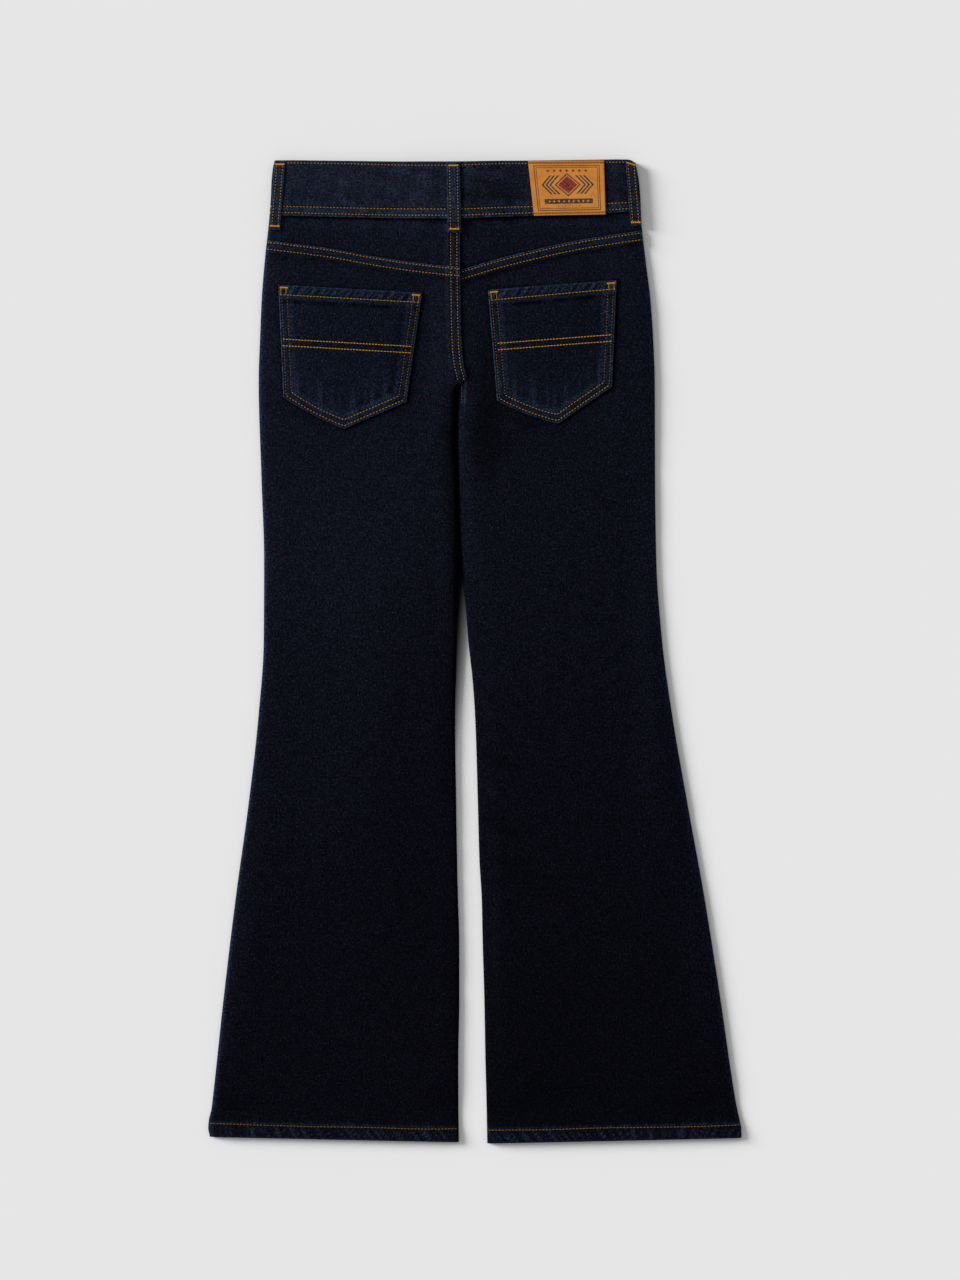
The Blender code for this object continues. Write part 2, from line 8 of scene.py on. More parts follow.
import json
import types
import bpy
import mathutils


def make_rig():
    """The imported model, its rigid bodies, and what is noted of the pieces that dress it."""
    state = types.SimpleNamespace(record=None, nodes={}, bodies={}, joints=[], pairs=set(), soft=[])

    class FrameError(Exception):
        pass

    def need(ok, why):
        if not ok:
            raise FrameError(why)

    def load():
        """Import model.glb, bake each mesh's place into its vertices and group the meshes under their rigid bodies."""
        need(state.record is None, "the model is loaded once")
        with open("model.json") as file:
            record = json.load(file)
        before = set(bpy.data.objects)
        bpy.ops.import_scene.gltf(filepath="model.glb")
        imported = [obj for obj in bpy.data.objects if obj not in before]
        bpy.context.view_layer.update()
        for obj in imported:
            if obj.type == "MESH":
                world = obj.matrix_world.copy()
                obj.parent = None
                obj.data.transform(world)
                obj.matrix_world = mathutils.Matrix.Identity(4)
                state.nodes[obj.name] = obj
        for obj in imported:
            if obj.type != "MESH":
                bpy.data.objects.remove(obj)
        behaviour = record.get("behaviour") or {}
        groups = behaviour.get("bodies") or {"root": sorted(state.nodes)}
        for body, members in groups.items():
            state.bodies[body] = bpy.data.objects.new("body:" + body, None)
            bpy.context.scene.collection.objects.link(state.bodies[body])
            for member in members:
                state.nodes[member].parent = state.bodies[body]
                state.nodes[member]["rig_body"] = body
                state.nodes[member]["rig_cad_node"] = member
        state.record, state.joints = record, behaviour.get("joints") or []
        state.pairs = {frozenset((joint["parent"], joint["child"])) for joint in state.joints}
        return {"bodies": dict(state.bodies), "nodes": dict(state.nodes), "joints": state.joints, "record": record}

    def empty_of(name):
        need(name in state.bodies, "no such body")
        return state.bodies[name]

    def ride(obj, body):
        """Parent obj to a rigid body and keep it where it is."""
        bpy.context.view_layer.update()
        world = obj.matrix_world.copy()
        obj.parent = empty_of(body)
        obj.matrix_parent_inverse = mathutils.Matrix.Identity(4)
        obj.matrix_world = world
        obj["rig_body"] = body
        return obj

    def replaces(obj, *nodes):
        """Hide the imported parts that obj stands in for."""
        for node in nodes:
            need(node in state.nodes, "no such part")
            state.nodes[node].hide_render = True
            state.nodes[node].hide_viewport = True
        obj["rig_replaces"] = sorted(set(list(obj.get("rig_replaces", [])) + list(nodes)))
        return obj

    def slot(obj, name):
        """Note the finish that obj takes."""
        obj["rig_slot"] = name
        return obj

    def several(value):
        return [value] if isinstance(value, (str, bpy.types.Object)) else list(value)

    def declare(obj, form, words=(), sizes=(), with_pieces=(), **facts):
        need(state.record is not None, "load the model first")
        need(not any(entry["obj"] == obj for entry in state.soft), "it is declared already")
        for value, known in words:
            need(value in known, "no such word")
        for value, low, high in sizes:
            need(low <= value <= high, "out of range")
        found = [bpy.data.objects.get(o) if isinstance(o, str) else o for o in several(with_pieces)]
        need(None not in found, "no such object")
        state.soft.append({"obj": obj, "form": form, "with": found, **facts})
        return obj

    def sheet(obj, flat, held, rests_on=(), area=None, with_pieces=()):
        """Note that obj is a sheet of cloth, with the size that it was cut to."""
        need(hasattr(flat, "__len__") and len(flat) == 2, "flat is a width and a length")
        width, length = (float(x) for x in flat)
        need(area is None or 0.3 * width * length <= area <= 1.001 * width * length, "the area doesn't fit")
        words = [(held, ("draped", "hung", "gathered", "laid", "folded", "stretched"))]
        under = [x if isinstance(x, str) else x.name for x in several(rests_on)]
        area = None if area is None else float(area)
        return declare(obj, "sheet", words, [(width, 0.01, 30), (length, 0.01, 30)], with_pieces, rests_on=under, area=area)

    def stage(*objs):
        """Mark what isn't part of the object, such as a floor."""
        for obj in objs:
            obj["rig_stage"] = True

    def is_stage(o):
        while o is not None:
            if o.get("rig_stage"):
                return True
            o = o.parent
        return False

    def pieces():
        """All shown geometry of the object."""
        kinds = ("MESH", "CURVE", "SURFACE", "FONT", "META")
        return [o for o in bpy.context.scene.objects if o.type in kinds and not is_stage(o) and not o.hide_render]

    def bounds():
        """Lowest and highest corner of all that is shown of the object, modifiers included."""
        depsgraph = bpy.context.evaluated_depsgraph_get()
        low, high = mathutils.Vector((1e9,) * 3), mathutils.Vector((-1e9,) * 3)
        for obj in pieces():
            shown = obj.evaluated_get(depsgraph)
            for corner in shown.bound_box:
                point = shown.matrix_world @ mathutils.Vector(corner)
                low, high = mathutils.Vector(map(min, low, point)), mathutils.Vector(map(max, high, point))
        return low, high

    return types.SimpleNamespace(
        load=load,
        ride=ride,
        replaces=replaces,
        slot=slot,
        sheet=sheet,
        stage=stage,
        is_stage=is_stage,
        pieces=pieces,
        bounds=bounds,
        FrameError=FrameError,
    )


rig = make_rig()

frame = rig.load()

import json
import math
from functools import partial

import bpy
import numpy as np
from mathutils import Vector

cad_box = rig.bounds()

MM = 0.001
PAIR = ("left", "right")

# Cloth, gaps and lifts, as the solids have them
WALL = 1.1
BAND_WALL = 1.6
HEM_WALL = 2.0
PATCH_WALL = 1.2
LOOP_WALL = 1.2
GAP = 0.3
POCKET_GAP = 0.45
STEP = WALL + 0.36  # lift of a piece that laps over one layer
LENGTH = 837.0
CROTCH = 645.0
LOW_Y = -0.5 * LENGTH
YOKE_LAP = 8.9
BAND_LAP = 9.5
FACE = 5.0  # height of the back's outer face
SEAT_LOFT = 0.5  # how much the seat stands over it
BAND_FLOOR = 1.5  # height of the waistband's front layer, away from its ends and folds
FRONT_RECESS = 0.2  # how much further the front panels rise than that
BAND_FACE = 7.0  # height of the waistband's back layer
CENTER_X = -13.0  # the centre back and the centre front
LAP_HALF = 18.0  # half the lap of the waistband's two ends
BUTTON_LIFT = 0.7  # how much further the over-lapping end rises, over the button
END_LIFT = 2.6  # how much further the under-lapping end rises, over the other one
LUMP = 2.2  # how much the buttoned lap underneath lifts the back
BUTTON_RADIUS = 8.5
LAP_RISE = 3.4  # how long a piece takes to climb over another's edge
YOKE_LEAD = 0.8  # how far before that edge it is up: at a yoke, at the seat and where they cross
SEAT_LEAD = 2.6
CROSSING_LEAD = 5.5
TUCK = 3.7  # how far a yoke's hidden rows draw in from the side fold
CURL_RISE = 8.0  # height below the crotch over which the inner fold flattens
CHANNEL_FLOOR = 1.5  # height of the cloth at the bottom of the channel
CHANNEL_SHARES = (0.12, 0.4, 0.7, 1.0)  # columns of cloth on the way there
POCKET_BOW = 1.6  # how far a pocket's lower left edge bends out
PATCH_SIZE = (62.0, 46.5)
LOOP_WIDTH = 11.4
SIDE_LOOP_WIDTH = 8.8
LOOP_BELOW = 12.3  # how far a loop reaches down past the waistband
LOOP_END = 1.0  # how far it stops short of the waistband's top edge

# Where a form or a tone rises or falls: the start and the length of its slope, or of both slopes
FRONT_RISE = (725, 47)
SEAT_RISE = (560, 90)
SEAT_FALL = (700, 90)
LUMP_RISE = (730, 56)
NEAR_CENTER = (22, 38)
FLOOR_RISE = (12, 45)
LOOP_STEP = (2.2, 4.2)
CHANNEL_STARTS = (384, 10)
CHANNEL_ENDS = (640, 8)
# Painted shade: where the closed channel turns black, and where the left thigh darkens beside its inner fold
CHANNEL_DARK = ((480, 14), (643, 4))
THIGH_DARK = ((250, 150), (600, 45))
SEAT_WEAR_RISE = (649, 7)
INNER_STRIP = ((622, 12), (648, 5))
SOFT_FALL = (755, 40)
HEM_THINS = (9, 4)
FOLD_THINS = (2, 4)

# The soft form of the cloth
FOLD_FALL = 1.5  # how far a leg's face falls towards its folds
FALL_WIDTH = 17.0
BAND_FALL = 1.8  # how far the waistband's back sinks beside its folds
FOLD_WIDTH = 3.6  # depth in from the edge of the fold's own curve
CROWN = 0.35  # how much a leg's middle stands over its sides
HEM_DEPTH = 11.0
EDGE_ROUND = 0.7  # width of a turned edge's curve, and its height
EDGE_DROP = 0.45
THIGH_FULL = 1.6  # how much fuller the left thigh is beside the other one
THIGH_UP, THIGH_LONG, THIGH_WIDE = 460, 110, 15  # its height, and its reach along and across
SWELL = 0.09  # height of the low swells of hand-smoothed cloth
HEM_RAISED = 0.35  # how much the turned-up hem stands over the leg
HEM_MIDDLE = 5.0  # height above the hem where its roping is strongest
POCKET_HEM_RAISED = 0.42
POCKET_HEM_MIDDLE = 4.0  # depth below the pocket's top edge
DIP_UP = 25  # the dip above a hem, where its doubled cloth ends
DIP_WIDE = 17

# Stitches by kind of row: their pitch and the share of it that shows
SEAM_STITCH = (2.85, 0.66)
SIDE_STITCH = (2.60, 0.54)
BOLD_STITCH = (2.60, 0.92)
HEM_STITCH = (2.85, 0.92)
PATCH_STITCH = (3.0, 0.70)
THREAD_RADIUS = 0.28  # before the stitch is drawn in at its ends
FINE_RADIUS = 0.25
BOLD_RADIUS = 0.30
PRESSED = 0.06  # how far a stitch may reach into the surface under the garment

# Rows of topstitching, from the edge that they follow
YOKE_ROWS = {"left": (1.6, 7.4), "right": (2.0, 7.8)}
SEAT_ROWS = (2.6, 7.9)
BAND_LOW_ROWS = (2.6, 7.9)
BAND_TOP_ROW = 2.4
POCKET_ROWS = (2.4, 7.0)
POCKET_HEM_ROWS = {"left": (8.3, 8.3), "right": (9.0, 7.3)}  # at its left and its right
POCKET_BAND_ROWS = (46, 51.5)
PATCH_ROW = 1.9
LOOP_ROW = 0.21  # share of a loop's width
LOOP_ROW_REACH = (0.06, 0.94)  # shares of a loop's length
LOOP_TACKS = (0.045, 0.945)
PATCH_ROW_REACH = (0.03, 0.97)

# Painted light and shade by height, as a share of the length: the tone falls towards the hems and is lower on the
# right leg
TONE_HEIGHTS = (0.0, 0.06, 0.17, 0.29, 0.41, 0.5, 0.6, 0.72, 0.83, 0.9, 0.94, 1.0)
PAINTED_FALLOFF = {
    "left": (0.52, 0.52, 0.56, 0.60, 0.69, 0.80, 0.96, 1.0, 0.98, 1.0, 1.08, 1.32),
    "right": (0.40, 0.41, 0.46, 0.53, 0.62, 0.68, 0.75, 0.81, 0.84, 0.95, 1.03, 1.20),
}
HEM_SEEDS = {"left": 0.0, "right": 1.9}
POCKET_SEEDS = {"left": 0.0, "right": 2.4}


class Outline:
    """Rows of lengths under named columns, read along the first column.

    Between rows the value follows a cubic whose slope at a row is the harmonic mean of the
    slopes beside it, or zero at a turn, so it never swings past the rows.
    """

    def __init__(self, columns, *rows):
        self.at = np.array(rows, float)[:, 0]
        self.values = dict(zip(columns.split(), np.array(rows, float).T))

    def read(self, name, at):
        """Values of a named column at these places along the first one."""
        places, values = self.at, self.values[name]
        at = np.clip(at, places[0], places[-1])
        k = np.clip(np.searchsorted(places, at, side="right") - 1, 0, len(places) - 2)
        slopes = np.diff(values) / np.diff(places)
        before, after = slopes[:-1], slopes[1:]
        both = before * after > 0
        bends = np.where(both, 2 * before * after / np.where(both, before + after, 1.0), 0.0)
        tangents = np.concatenate([slopes[:1], bends, slopes[-1:]])
        width = places[k + 1] - places[k]
        t = (at - places[k]) / width
        start = values[k] * (1 + 2 * t) + tangents[k] * width * t
        end = values[k + 1] * (3 - 2 * t) + tangents[k + 1] * width * (t - 1)
        return start * (1 - t) ** 2 + end * t * t


# Side folds: X of the left and right outer edges, by height above the hems
SIDES = Outline(
    "up left right",
    (0, -224.6, 226.2), (6, -225.6, 226.8), (13, -226.9, 226.6), (20, -226.4, 225.2),
    (28, -224.4, 223.4), (40, -222.9, 221.1), (122, -214.0, 209.0), (207, -203.8, 195.6),
    (292, -192.2, 180.3), (360, -184.5, 168.5), (428, -179.7, 159.2), (496, -179.4, 154.3),
    (564, -181.6, 153.3), (649, -184.0, 153.0), (683, -182.9, 151.7), (717, -181.5, 149.4),
    (751, -178.8, 145.2), (785, -175.2, 141.6), (802, -173.8, 140.9), (819, -173.0, 139.4),
    (830, -171.8, 137.4), (837, -170.4, 134.6),
)

# Inner edges of the back: inseams up to the crotch, then the seat seam
INNER = Outline(
    "up left right",
    (0, -13.7, 10.5), (37, -14.1, 9.8), (71, -14.2, 8.9), (122, -13.3, 8.0), (173, -13.4, 6.5),
    (207, -14.4, 5.8), (241, -15.2, 3.8), (292, -16.0, 2.4), (360, -16.9, 0.3),
    (394, -16.3, -2.0), (428, -15.6, -5.7), (496, -15.9, -10.5), (530, -16.2, -13.3),
    (564, -16.9, -13.7), (615, -18.4, -13.7), (632, -18.4, -12.2), (641, -17.9, -11.8),
    (645, -15.9, -12.6), (650, -6.8, -15.4), (660, -9.3, -16.6), (681, -11.4, -18.4),
    (714, -12.2, -19.2), (768, -12.7, -19.7), (837, -12.7, -19.7),
)

# Inner edges of the front, which meet at the centre front without a lap
FRONT_INNER = Outline(
    "up left right",
    *((up, INNER.read("left", up), INNER.read("right", up)) for up in INNER.at[:16]),
    (641, -17.6, -11.9), (650, -13.5, -13.1), (660, -13.2, -12.8), (837, -13.2, -12.8),
)

# Between the thighs: X to which each leg's cloth runs on past its fold. The two part below
# 489 mm, where the channel opens into a gap that widens from a point
CHANNEL = Outline(
    "up left right",
    (380, -16.8, -0.5), (394, -16.1, -1.7), (411, -15.8, -3.2), (428, -15.4, -4.8),
    (445, -15.1, -6.8), (462, -14.5, -8.4), (474, -13.7, -9.8), (483, -13.3, -11.6),
    (489, -13.1, -13.08), (496, -13.0, -12.98), (520, -14.6, -14.58), (560, -15.6, -15.58),
    (600, -16.2, -16.18), (620, -15.8, -15.78), (645, -14.9, -14.88),
)
YOKE_SEAM = {
    "left": Outline(
        "x y", (-178, 349.5), (-123, 342.3), (-89, 336.2), (-55, 330.9), (-13, 326.4), (0, 325.4)
    ),
    "right": Outline(
        "x y", (-24, 320.9), (-12, 324.1), (18, 333.0), (54, 342.0), (90, 349.7), (142, 357.8)
    ),
}
BAND_EDGES = Outline(
    "x low top",
    (-176, 370.6, 417.6), (-100, 368.7, 416.7), (-24, 367.5, 415.9), (42, 369.8, 417.0),
    (110, 372.4, 417.9), (130, 373.5, 418.2), (134.5, 373.8, 417.0), (137.5, 374.0, 414.8),
    (139.5, 374.1, 412.4), (141, 374.2, 410.0),
)
HEMS = {
    "left": Outline("x y", (-227, -412.8), (-13, -417.4)),
    "right": Outline("x y", (10, -418.5), (227, -413.8)),
}
HEM_DIPS = {
    "left": Outline(
        "x depth", (-227, 0.9), (-190, 1.0), (-130, 0.5), (-80, 0.55), (-40, 1.0), (-13, 0.9)
    ),
    "right": Outline(
        "x depth", (10, 0.9), (40, 1.15), (90, 0.6), (140, 0.7), (195, 1.15), (227, 0.9)
    ),
}

# Corners of the pockets, in order round each, and of the patch: X and Y
RIM = ("top_left", "low_left", "tip", "low_right", "top_right")
RIM_EDGES = ("left", "low_left", "low_right", "right", "top")
POCKETS = {
    side: dict(zip(RIM, np.array(places)))
    for side, places in (
        ("left", ((-167, 311.5), (-162.7, 215.9), (-111.4, 189), (-58.2, 212), (-44.9, 304.6))),
        ("right", ((11.1, 307.2), (19, 212.9), (70.5, 193.4), (116.4, 224.8), (120.4, 315.4))),
    )
}
PATCH_LOW = np.array([(50.2, 369.9), (111.1, 371.0)])
PATCH_TOP = np.array([(45.0, 416.6), (109.7, 417.0)])

# Belt loops on the back: side, X of the left edge at the top and at the bottom, and width
LOOPS = {
    "belt_loop_side_left": ("left", -169.9, -174.6, SIDE_LOOP_WIDTH),
    "belt_loop_back": ("left", -24.0, -23.0, LOOP_WIDTH),
    "belt_loop_side_right": ("right", 127.9, 132.6, SIDE_LOOP_WIDTH),
}
FRONT_LOOPS = {"belt_loop_front_left": CENTER_X - 80, "belt_loop_front_right": CENTER_X + 80}

# Soft troughs in the back of each leg: X and Y of the middle, half length, half width, the turn
# of its length from +X in degrees, and depth (a ridge is negative)
CREASES = {
    "left": (
        (-37, 255, 55, 9, 88, 0.55), (-30, 150, 90, 8, 91, 0.35), (-24, -60, 60, 6, 96, 0.50),
        (-24, -165, 14, 4.5, 30, 0.45), (-26, -196, 18, 5, 24, 0.40),
        (-24, -240, 16, 5, 28, 0.45), (-30, -292, 20, 6, 20, 0.35),
        (-190, -150, 22, 6, -40, 0.35), (-176, 60, 26, 6, -62, 0.30),
        (-172, 128, 20, 5, -50, 0.30), (-170, 172, 18, 5, -40, 0.28),
        (-110, 162, 46, 8, -8, 0.35), (-96, -20, 70, 16, -78, -0.30),
        (-120, -230, 80, 18, 84, 0.28), (-70, -310, 60, 16, 80, -0.25),
    ),
    "right": (
        (12, 250, 60, 9, 86, 0.70), (10, 196, 42, 9, 80, 0.85), (4, 140, 46, 8, 84, 0.35),
        (22, -92, 24, 6, -34, 0.60), (18, -118, 16, 5, -30, -0.35), (21, -146, 24, 5, -26, 0.70),
        (22, -163, 18, 4, -26, -0.35), (28, -181, 24, 5, -24, 0.60), (52, -205, 30, 7, -18, 0.45),
        (34, -232, 26, 7, -16, 0.30), (70, -292, 40, 10, 10, 0.35), (176, -154, 18, 6, 62, 0.50),
        (182, -203, 18, 6, 64, 0.45), (148, 90, 20, 6, 50, 0.28), (146, 150, 20, 6, 44, 0.28),
        (70, 160, 50, 8, 8, 0.30), (66, 20, 80, 18, 82, -0.28), (120, -120, 80, 20, 98, 0.25),
        (130, -290, 60, 18, 84, -0.25),
    ),
}

# Painted light and shade: soft lighter and darker places of the tone, in hollows, beside folds and under pockets; the
# same columns, with the share by which each is lighter
PAINTED_LIGHT_AND_SHADE = {
    "left": (
        (-34, 270, 46, 8, 88, 0.30), (-38, 190, 60, 10, 88, 0.07), (-62, 262, 40, 11, 86, -0.26),
        (-140, 197, 34, 7, -28, -0.18), (-207, -255, 120, 14, 80, 0.30),
        (-38, 30, 60, 9, 92, -0.15), (-200, 150, 240, 14, 82, 0.16), (-60, 215, 30, 14, 80, -0.14),
        (-60, -10, 120, 22, 88, -0.12), (-120, 60, 60, 40, 85, 0.06),
        (-130, -120, 130, 46, 82, 0.10), (-60, -230, 110, 40, 88, -0.12),
        (-30, -382, 16, 9, 8, -0.22), (-205, -384, 20, 9, -6, -0.20), (-120, 396, 40, 9, 0, 0.16),
        (-52, 402, 22, 12, 10, -0.16), (-140, 345, 30, 12, -8, -0.12),
    ),
    "right": (
        (14, 250, 70, 9, 86, -0.22), (13, 190, 42, 11, 82, -0.42), (30, 176, 26, 10, 40, -0.18),
        (-7, 150, 66, 4.5, 92, 0.30), (6, 70, 60, 9, 98, 0.12), (14, -30, 80, 8, 94, 0.04),
        (17, -230, 110, 7, 92, 0.26), (24, -95, 20, 7, -34, -0.26), (22, -148, 24, 7, -26, -0.28),
        (34, -182, 26, 7, -24, -0.24), (60, -205, 32, 9, -18, -0.16),
        (70, -320, 50, 34, 84, -0.14), (50, -376, 34, 12, 10, -0.20),
        (190, -380, 30, 11, 12, -0.18), (120, 120, 90, 20, 84, -0.05),
        (146, 60, 230, 11, 90, 0.22), (196, -230, 150, 12, 99, 0.32),
        (190, -270, 110, 14, 101, 0.18),
        (116, 245, 75, 9, 90, 0.16), (93, 285, 40, 8, 90, -0.14), (44, 195, 34, 7, -20, -0.20),
        (12, 388, 26, 22, 0, -0.34), (120, 388, 16, 20, 90, -0.20), (60, 352, 40, 9, 10, -0.10),
    ),
}

# Small helpers


def ease(value):
    """0 up to 0, 1 from 1, and a smooth S between."""
    value = np.clip(value, 0.0, 1.0)
    return value * value * (3.0 - 2.0 * value)


def mix(a, b, share):
    """The value a share of the way from a to b, in a straight line."""
    return a + (b - a) * share


def slope(value, start_and_length):
    """0 before a slope's start, 1 past its length, and a smooth S between."""
    start, length = start_and_length
    return ease((value - start) / length)


def between(value, rise, fall):
    """1 after one slope and before another, 0 outside."""
    return slope(value, rise) * (1.0 - slope(value, fall))


def bell(distance, width):
    """1 at no distance, falling off on both sides as a bell."""
    return np.exp(-((distance / width) ** 2))


def crevice(away, width=1.4):
    """1 under an edge that lies over the cloth, falling off away from it: the mask of painted shade there."""
    return bell(np.maximum(away, 0.0), width)


def wander(along, wave, seed=0.0):
    """An uneven wave from -1 to 1: three sines whose lengths share no common measure."""
    turn = 2 * math.pi * along / wave
    first = np.sin(turn + seed + 1.2 * np.sin(turn * 0.31 + 2 * seed))
    second = 0.6 * np.sin(turn * 0.618 + 2.3 * seed)
    return (first + second + 0.4 * np.sin(turn * 1.73 + 3.1 * seed)) / 2.0


def humps(*wave):
    """The crests of an uneven wave, and 0 between them."""
    return np.clip(wander(*wave), 0, 1)


def spread(*stretches):
    """Places in a row: each stretch runs evenly from its start to its end with about its step."""
    places = []
    for start, end, step in stretches:
        count = max(int(round(abs(end - start) / step)), 1)
        places.append(np.linspace(start, end, count, endpoint=False))
    return np.concatenate(places + [[stretches[-1][1]]])


def edged(near, middle, size=1.0):
    """Shares of a size: places near its start, those in the middle, and the first ones mirrored."""
    near = np.array(near)
    return np.concatenate([near, middle, size - near[::-1]]) / size


def unit(vectors):
    """Each vector divided by its length."""
    return vectors / np.linalg.norm(vectors, axis=-1, keepdims=True)


def place_bells(rows, x, y, bend=0.0):
    """Sum of bells along and across each row's length, slightly bent, times its last value."""
    total = np.zeros(np.broadcast(x, y).shape)
    for at_x, at_y, long, wide, turn, amount in rows:
        cos, sin = math.cos(math.radians(turn)), math.sin(math.radians(turn))
        along = (x - at_x) * cos + (y - at_y) * sin
        across = (y - at_y) * cos - (x - at_x) * sin - bend * along * along / long
        total += amount * bell(along, long) * bell(across, wide)
    return total


def up_of(y):
    """Height above the hems."""
    return y - LOW_Y


def side_x(side, y):
    """X of a side fold at a Y."""
    return SIDES.read(side, up_of(y))


def inner_x(side, y):
    """X of the back's inner edge at a Y."""
    return INNER.read(side, up_of(y))


def from_side(side, x, y):
    """Distance from a side fold, across the leg."""
    return np.abs(x - side_x(side, y))


def from_inner(side, x, y):
    """Distance from the back's inner edge, across the leg."""
    return np.abs(x - inner_x(side, y))


def seam_y(side, x):
    """Y of the seam between a back panel and its yoke at an X."""
    return YOKE_SEAM[side].read("y", x)


def hem_y(side, x):
    """Y of a hem's edge at an X."""
    return HEMS[side].read("y", x)


def band_low(x):
    """Y of the waistband's lower edge at an X."""
    return BAND_EDGES.read("low", x)


def band_top(x):
    """Y of the waistband's top edge at an X."""
    return BAND_EDGES.read("top", x)


# Heights of the faces


def near_center(x):
    """1 over the buttoned lap at the centre front, 0 from 60 mm away."""
    return 1.0 - slope(np.abs(x - CENTER_X), NEAR_CENTER)


def lapped(past, lead):
    """1 where a piece lies over another's edge, from lead before it; past is beyond the edge."""
    return ease((past + lead + LAP_RISE) / LAP_RISE)


def band_floor(x):
    """Height of the waistband's front layer: down at the side folds, up over its loops."""
    left, right = (from_side(side, x, band_low(x)) for side in PAIR)
    return BAND_FLOOR * slope(np.where(x < CENTER_X, left, right), FLOOR_RISE)


def front_face(x, y):
    """Height of the front's outer face: on the surface, and lifted to meet the waistband."""
    rise = np.clip((up_of(y) - FRONT_RISE[0]) / FRONT_RISE[1], 0.0, 1.0)
    floor = band_floor(x) * (1 + FRONT_RECESS / BAND_FLOOR)
    return rise * (floor + BUTTON_LIFT * near_center(x))


def fold_fall(distance):
    """How far the back has fallen at a distance from a fold: the square of what is left."""
    share = np.clip(1.0 - distance / FALL_WIDTH, 0.0, 1.0)
    return FOLD_FALL * share * share


def curl_share(y):
    """1 where the inner edge is a fold, below the crotch, and 0 where it lies flat above."""
    return 1.0 - slope(up_of(y), (CROTCH - CURL_RISE, CURL_RISE))


def channel_reach(side, y):
    """How far a leg's cloth runs on past its inner fold to the channel's deepest line."""
    up = up_of(y)
    inward = 1.0 if side == "left" else -1.0
    reach = inward * (CHANNEL.read(side, up) - INNER.read(side, up))
    crossed = slope(INNER.read("right", up) - INNER.read("left", up), (0.3, 1.2))
    return np.maximum(reach, 0.0) * slope(up, CHANNEL_STARTS) * crossed


def hem_dip(side, x, y):
    """The dip above a hem, where its doubled cloth ends."""
    up = y - hem_y(side, x)
    return HEM_DIPS[side].read("depth", x) * bell(up - DIP_UP, DIP_WIDE) * ease(up / 14)


def unevenness(x, y):
    """Low, wide swells of hand-smoothed cloth, from four crossed uneven waves."""
    long = wander(x + 0.35 * y, 47, 0.4) + wander(y - 0.22 * x, 61, 1.7)
    short = 0.7 * wander(x - 0.8 * y, 29, 2.6) + 0.5 * wander(y + 1.1 * x, 19, 3.9)
    return SWELL * (long + short)


def back_face(side, x, y):
    """Height of the back's outer face with no lap and no edge: layers, swells and creases."""
    up = up_of(y)
    seat = SEAT_LOFT * between(up, SEAT_RISE, SEAT_FALL)
    lump = LUMP * near_center(x) * slope(up, LUMP_RISE)
    outer, inner = from_side(side, x, y), from_inner(side, x, y)
    falls = fold_fall(outer) + fold_fall(inner) * curl_share(y)
    if side == "left":
        beside = bell(up - THIGH_UP, THIGH_LONG) * curl_share(y)
        falls = falls - beside * (THIGH_FULL * bell(inner, THIGH_WIDE) + 0.8 * fold_fall(inner))
    width = np.abs(side_x(side, y) - inner_x(side, y))
    crown = CROWN * np.clip(4 * outer * inner / width**2, 0, 1) * (1.0 - slope(up, SEAT_FALL))
    soft = unevenness(x, y) - place_bells(CREASES[side], x, y, bend=0.05) - hem_dip(side, x, y)
    return FACE + seat + lump + crown - falls + soft * (1.0 - slope(up, SOFT_FALL))


def over_yoke(side, x, y):
    """1 where a back panel laps over its yoke."""
    return lapped(y - seam_y(side, x) + YOKE_LAP, YOKE_LEAD)


def yoke_lift(side, x, y):
    """Lift of a yoke: at the seat the left one lies over the right half and its yoke's lap."""
    if side == "right":
        return 0.0 * x
    over_lap = lapped(seam_y("right", x) - y, CROSSING_LEAD) * over_yoke("right", x, y)
    return STEP * lapped(x - inner_x("right", y), SEAT_LEAD) * (1.0 + over_lap)


def leg_lift(side, x, y):
    """Lift of a back panel over its yoke and, on the left, over the right half."""
    return STEP * over_yoke(side, x, y) + yoke_lift(side, x, y)


def rounded(depth, width, height):
    """Fall of a quarter ellipse, so wide and high, at a depth in from its edge."""
    left = np.clip(1.0 - depth / width, 0.0, 1.0)
    return height * (1.0 - np.sqrt(1.0 - left * left))


def edge_drop(depth):
    """Fall of a turned edge over the last part of the cloth."""
    return rounded(depth, EDGE_ROUND, EDGE_DROP)


def fold_drop(depth, height):
    """Fall of a fold's own curve: a quarter ellipse of the fold's width and this height."""
    return rounded(depth, FOLD_WIDTH, height)


def stitched(depth, rows, along, seed=0.0, pull=0.26, pucker=0.10):
    """Relief beside an edge: a groove under each row, and uneven puckers between and beyond."""
    grooves = sum(bell(depth - row, 0.8) for row in rows)
    middle, reach = sum(rows) / len(rows), 0.5 * (rows[-1] - rows[0]) + 2.6
    return pucker * wander(along, 7.1, seed) * bell(depth - middle, reach) - pull * grooves


def seat_depth(x, y):
    """Distance in from the left half's folded edge at the seat seam."""
    return inner_x("left", y) - x


def seat_relief(side, x, y):
    """The seat seam's relief on the left half, which fades out at the crotch."""
    if side == "right":
        return 0.0 * x
    depth = seat_depth(x, y)
    return (1.0 - curl_share(y)) * (stitched(depth, SEAT_ROWS, y, 0.9) - edge_drop(depth))


def fall_to_front(height, x, y):
    """How far the back falls at a fold, to meet the front half way."""
    return 0.5 * (height - front_face(x, y) - GAP)


def leg_top(side, x, y):
    """Height of a back panel's outer face with its seams, hem and folds."""
    below = seam_y(side, x) - y
    height = back_face(side, x, y) + leg_lift(side, x, y) + seat_relief(side, x, y)
    height += stitched(below, YOKE_ROWS[side], x, 2.1) - edge_drop(below)
    height += hem_relief(side, x, y - hem_y(side, x))
    fall = fall_to_front(height, x, y)
    drop = fold_drop(from_side(side, x, y), fall)
    return height - drop - curl_share(y) * fold_drop(from_inner(side, x, y), fall)


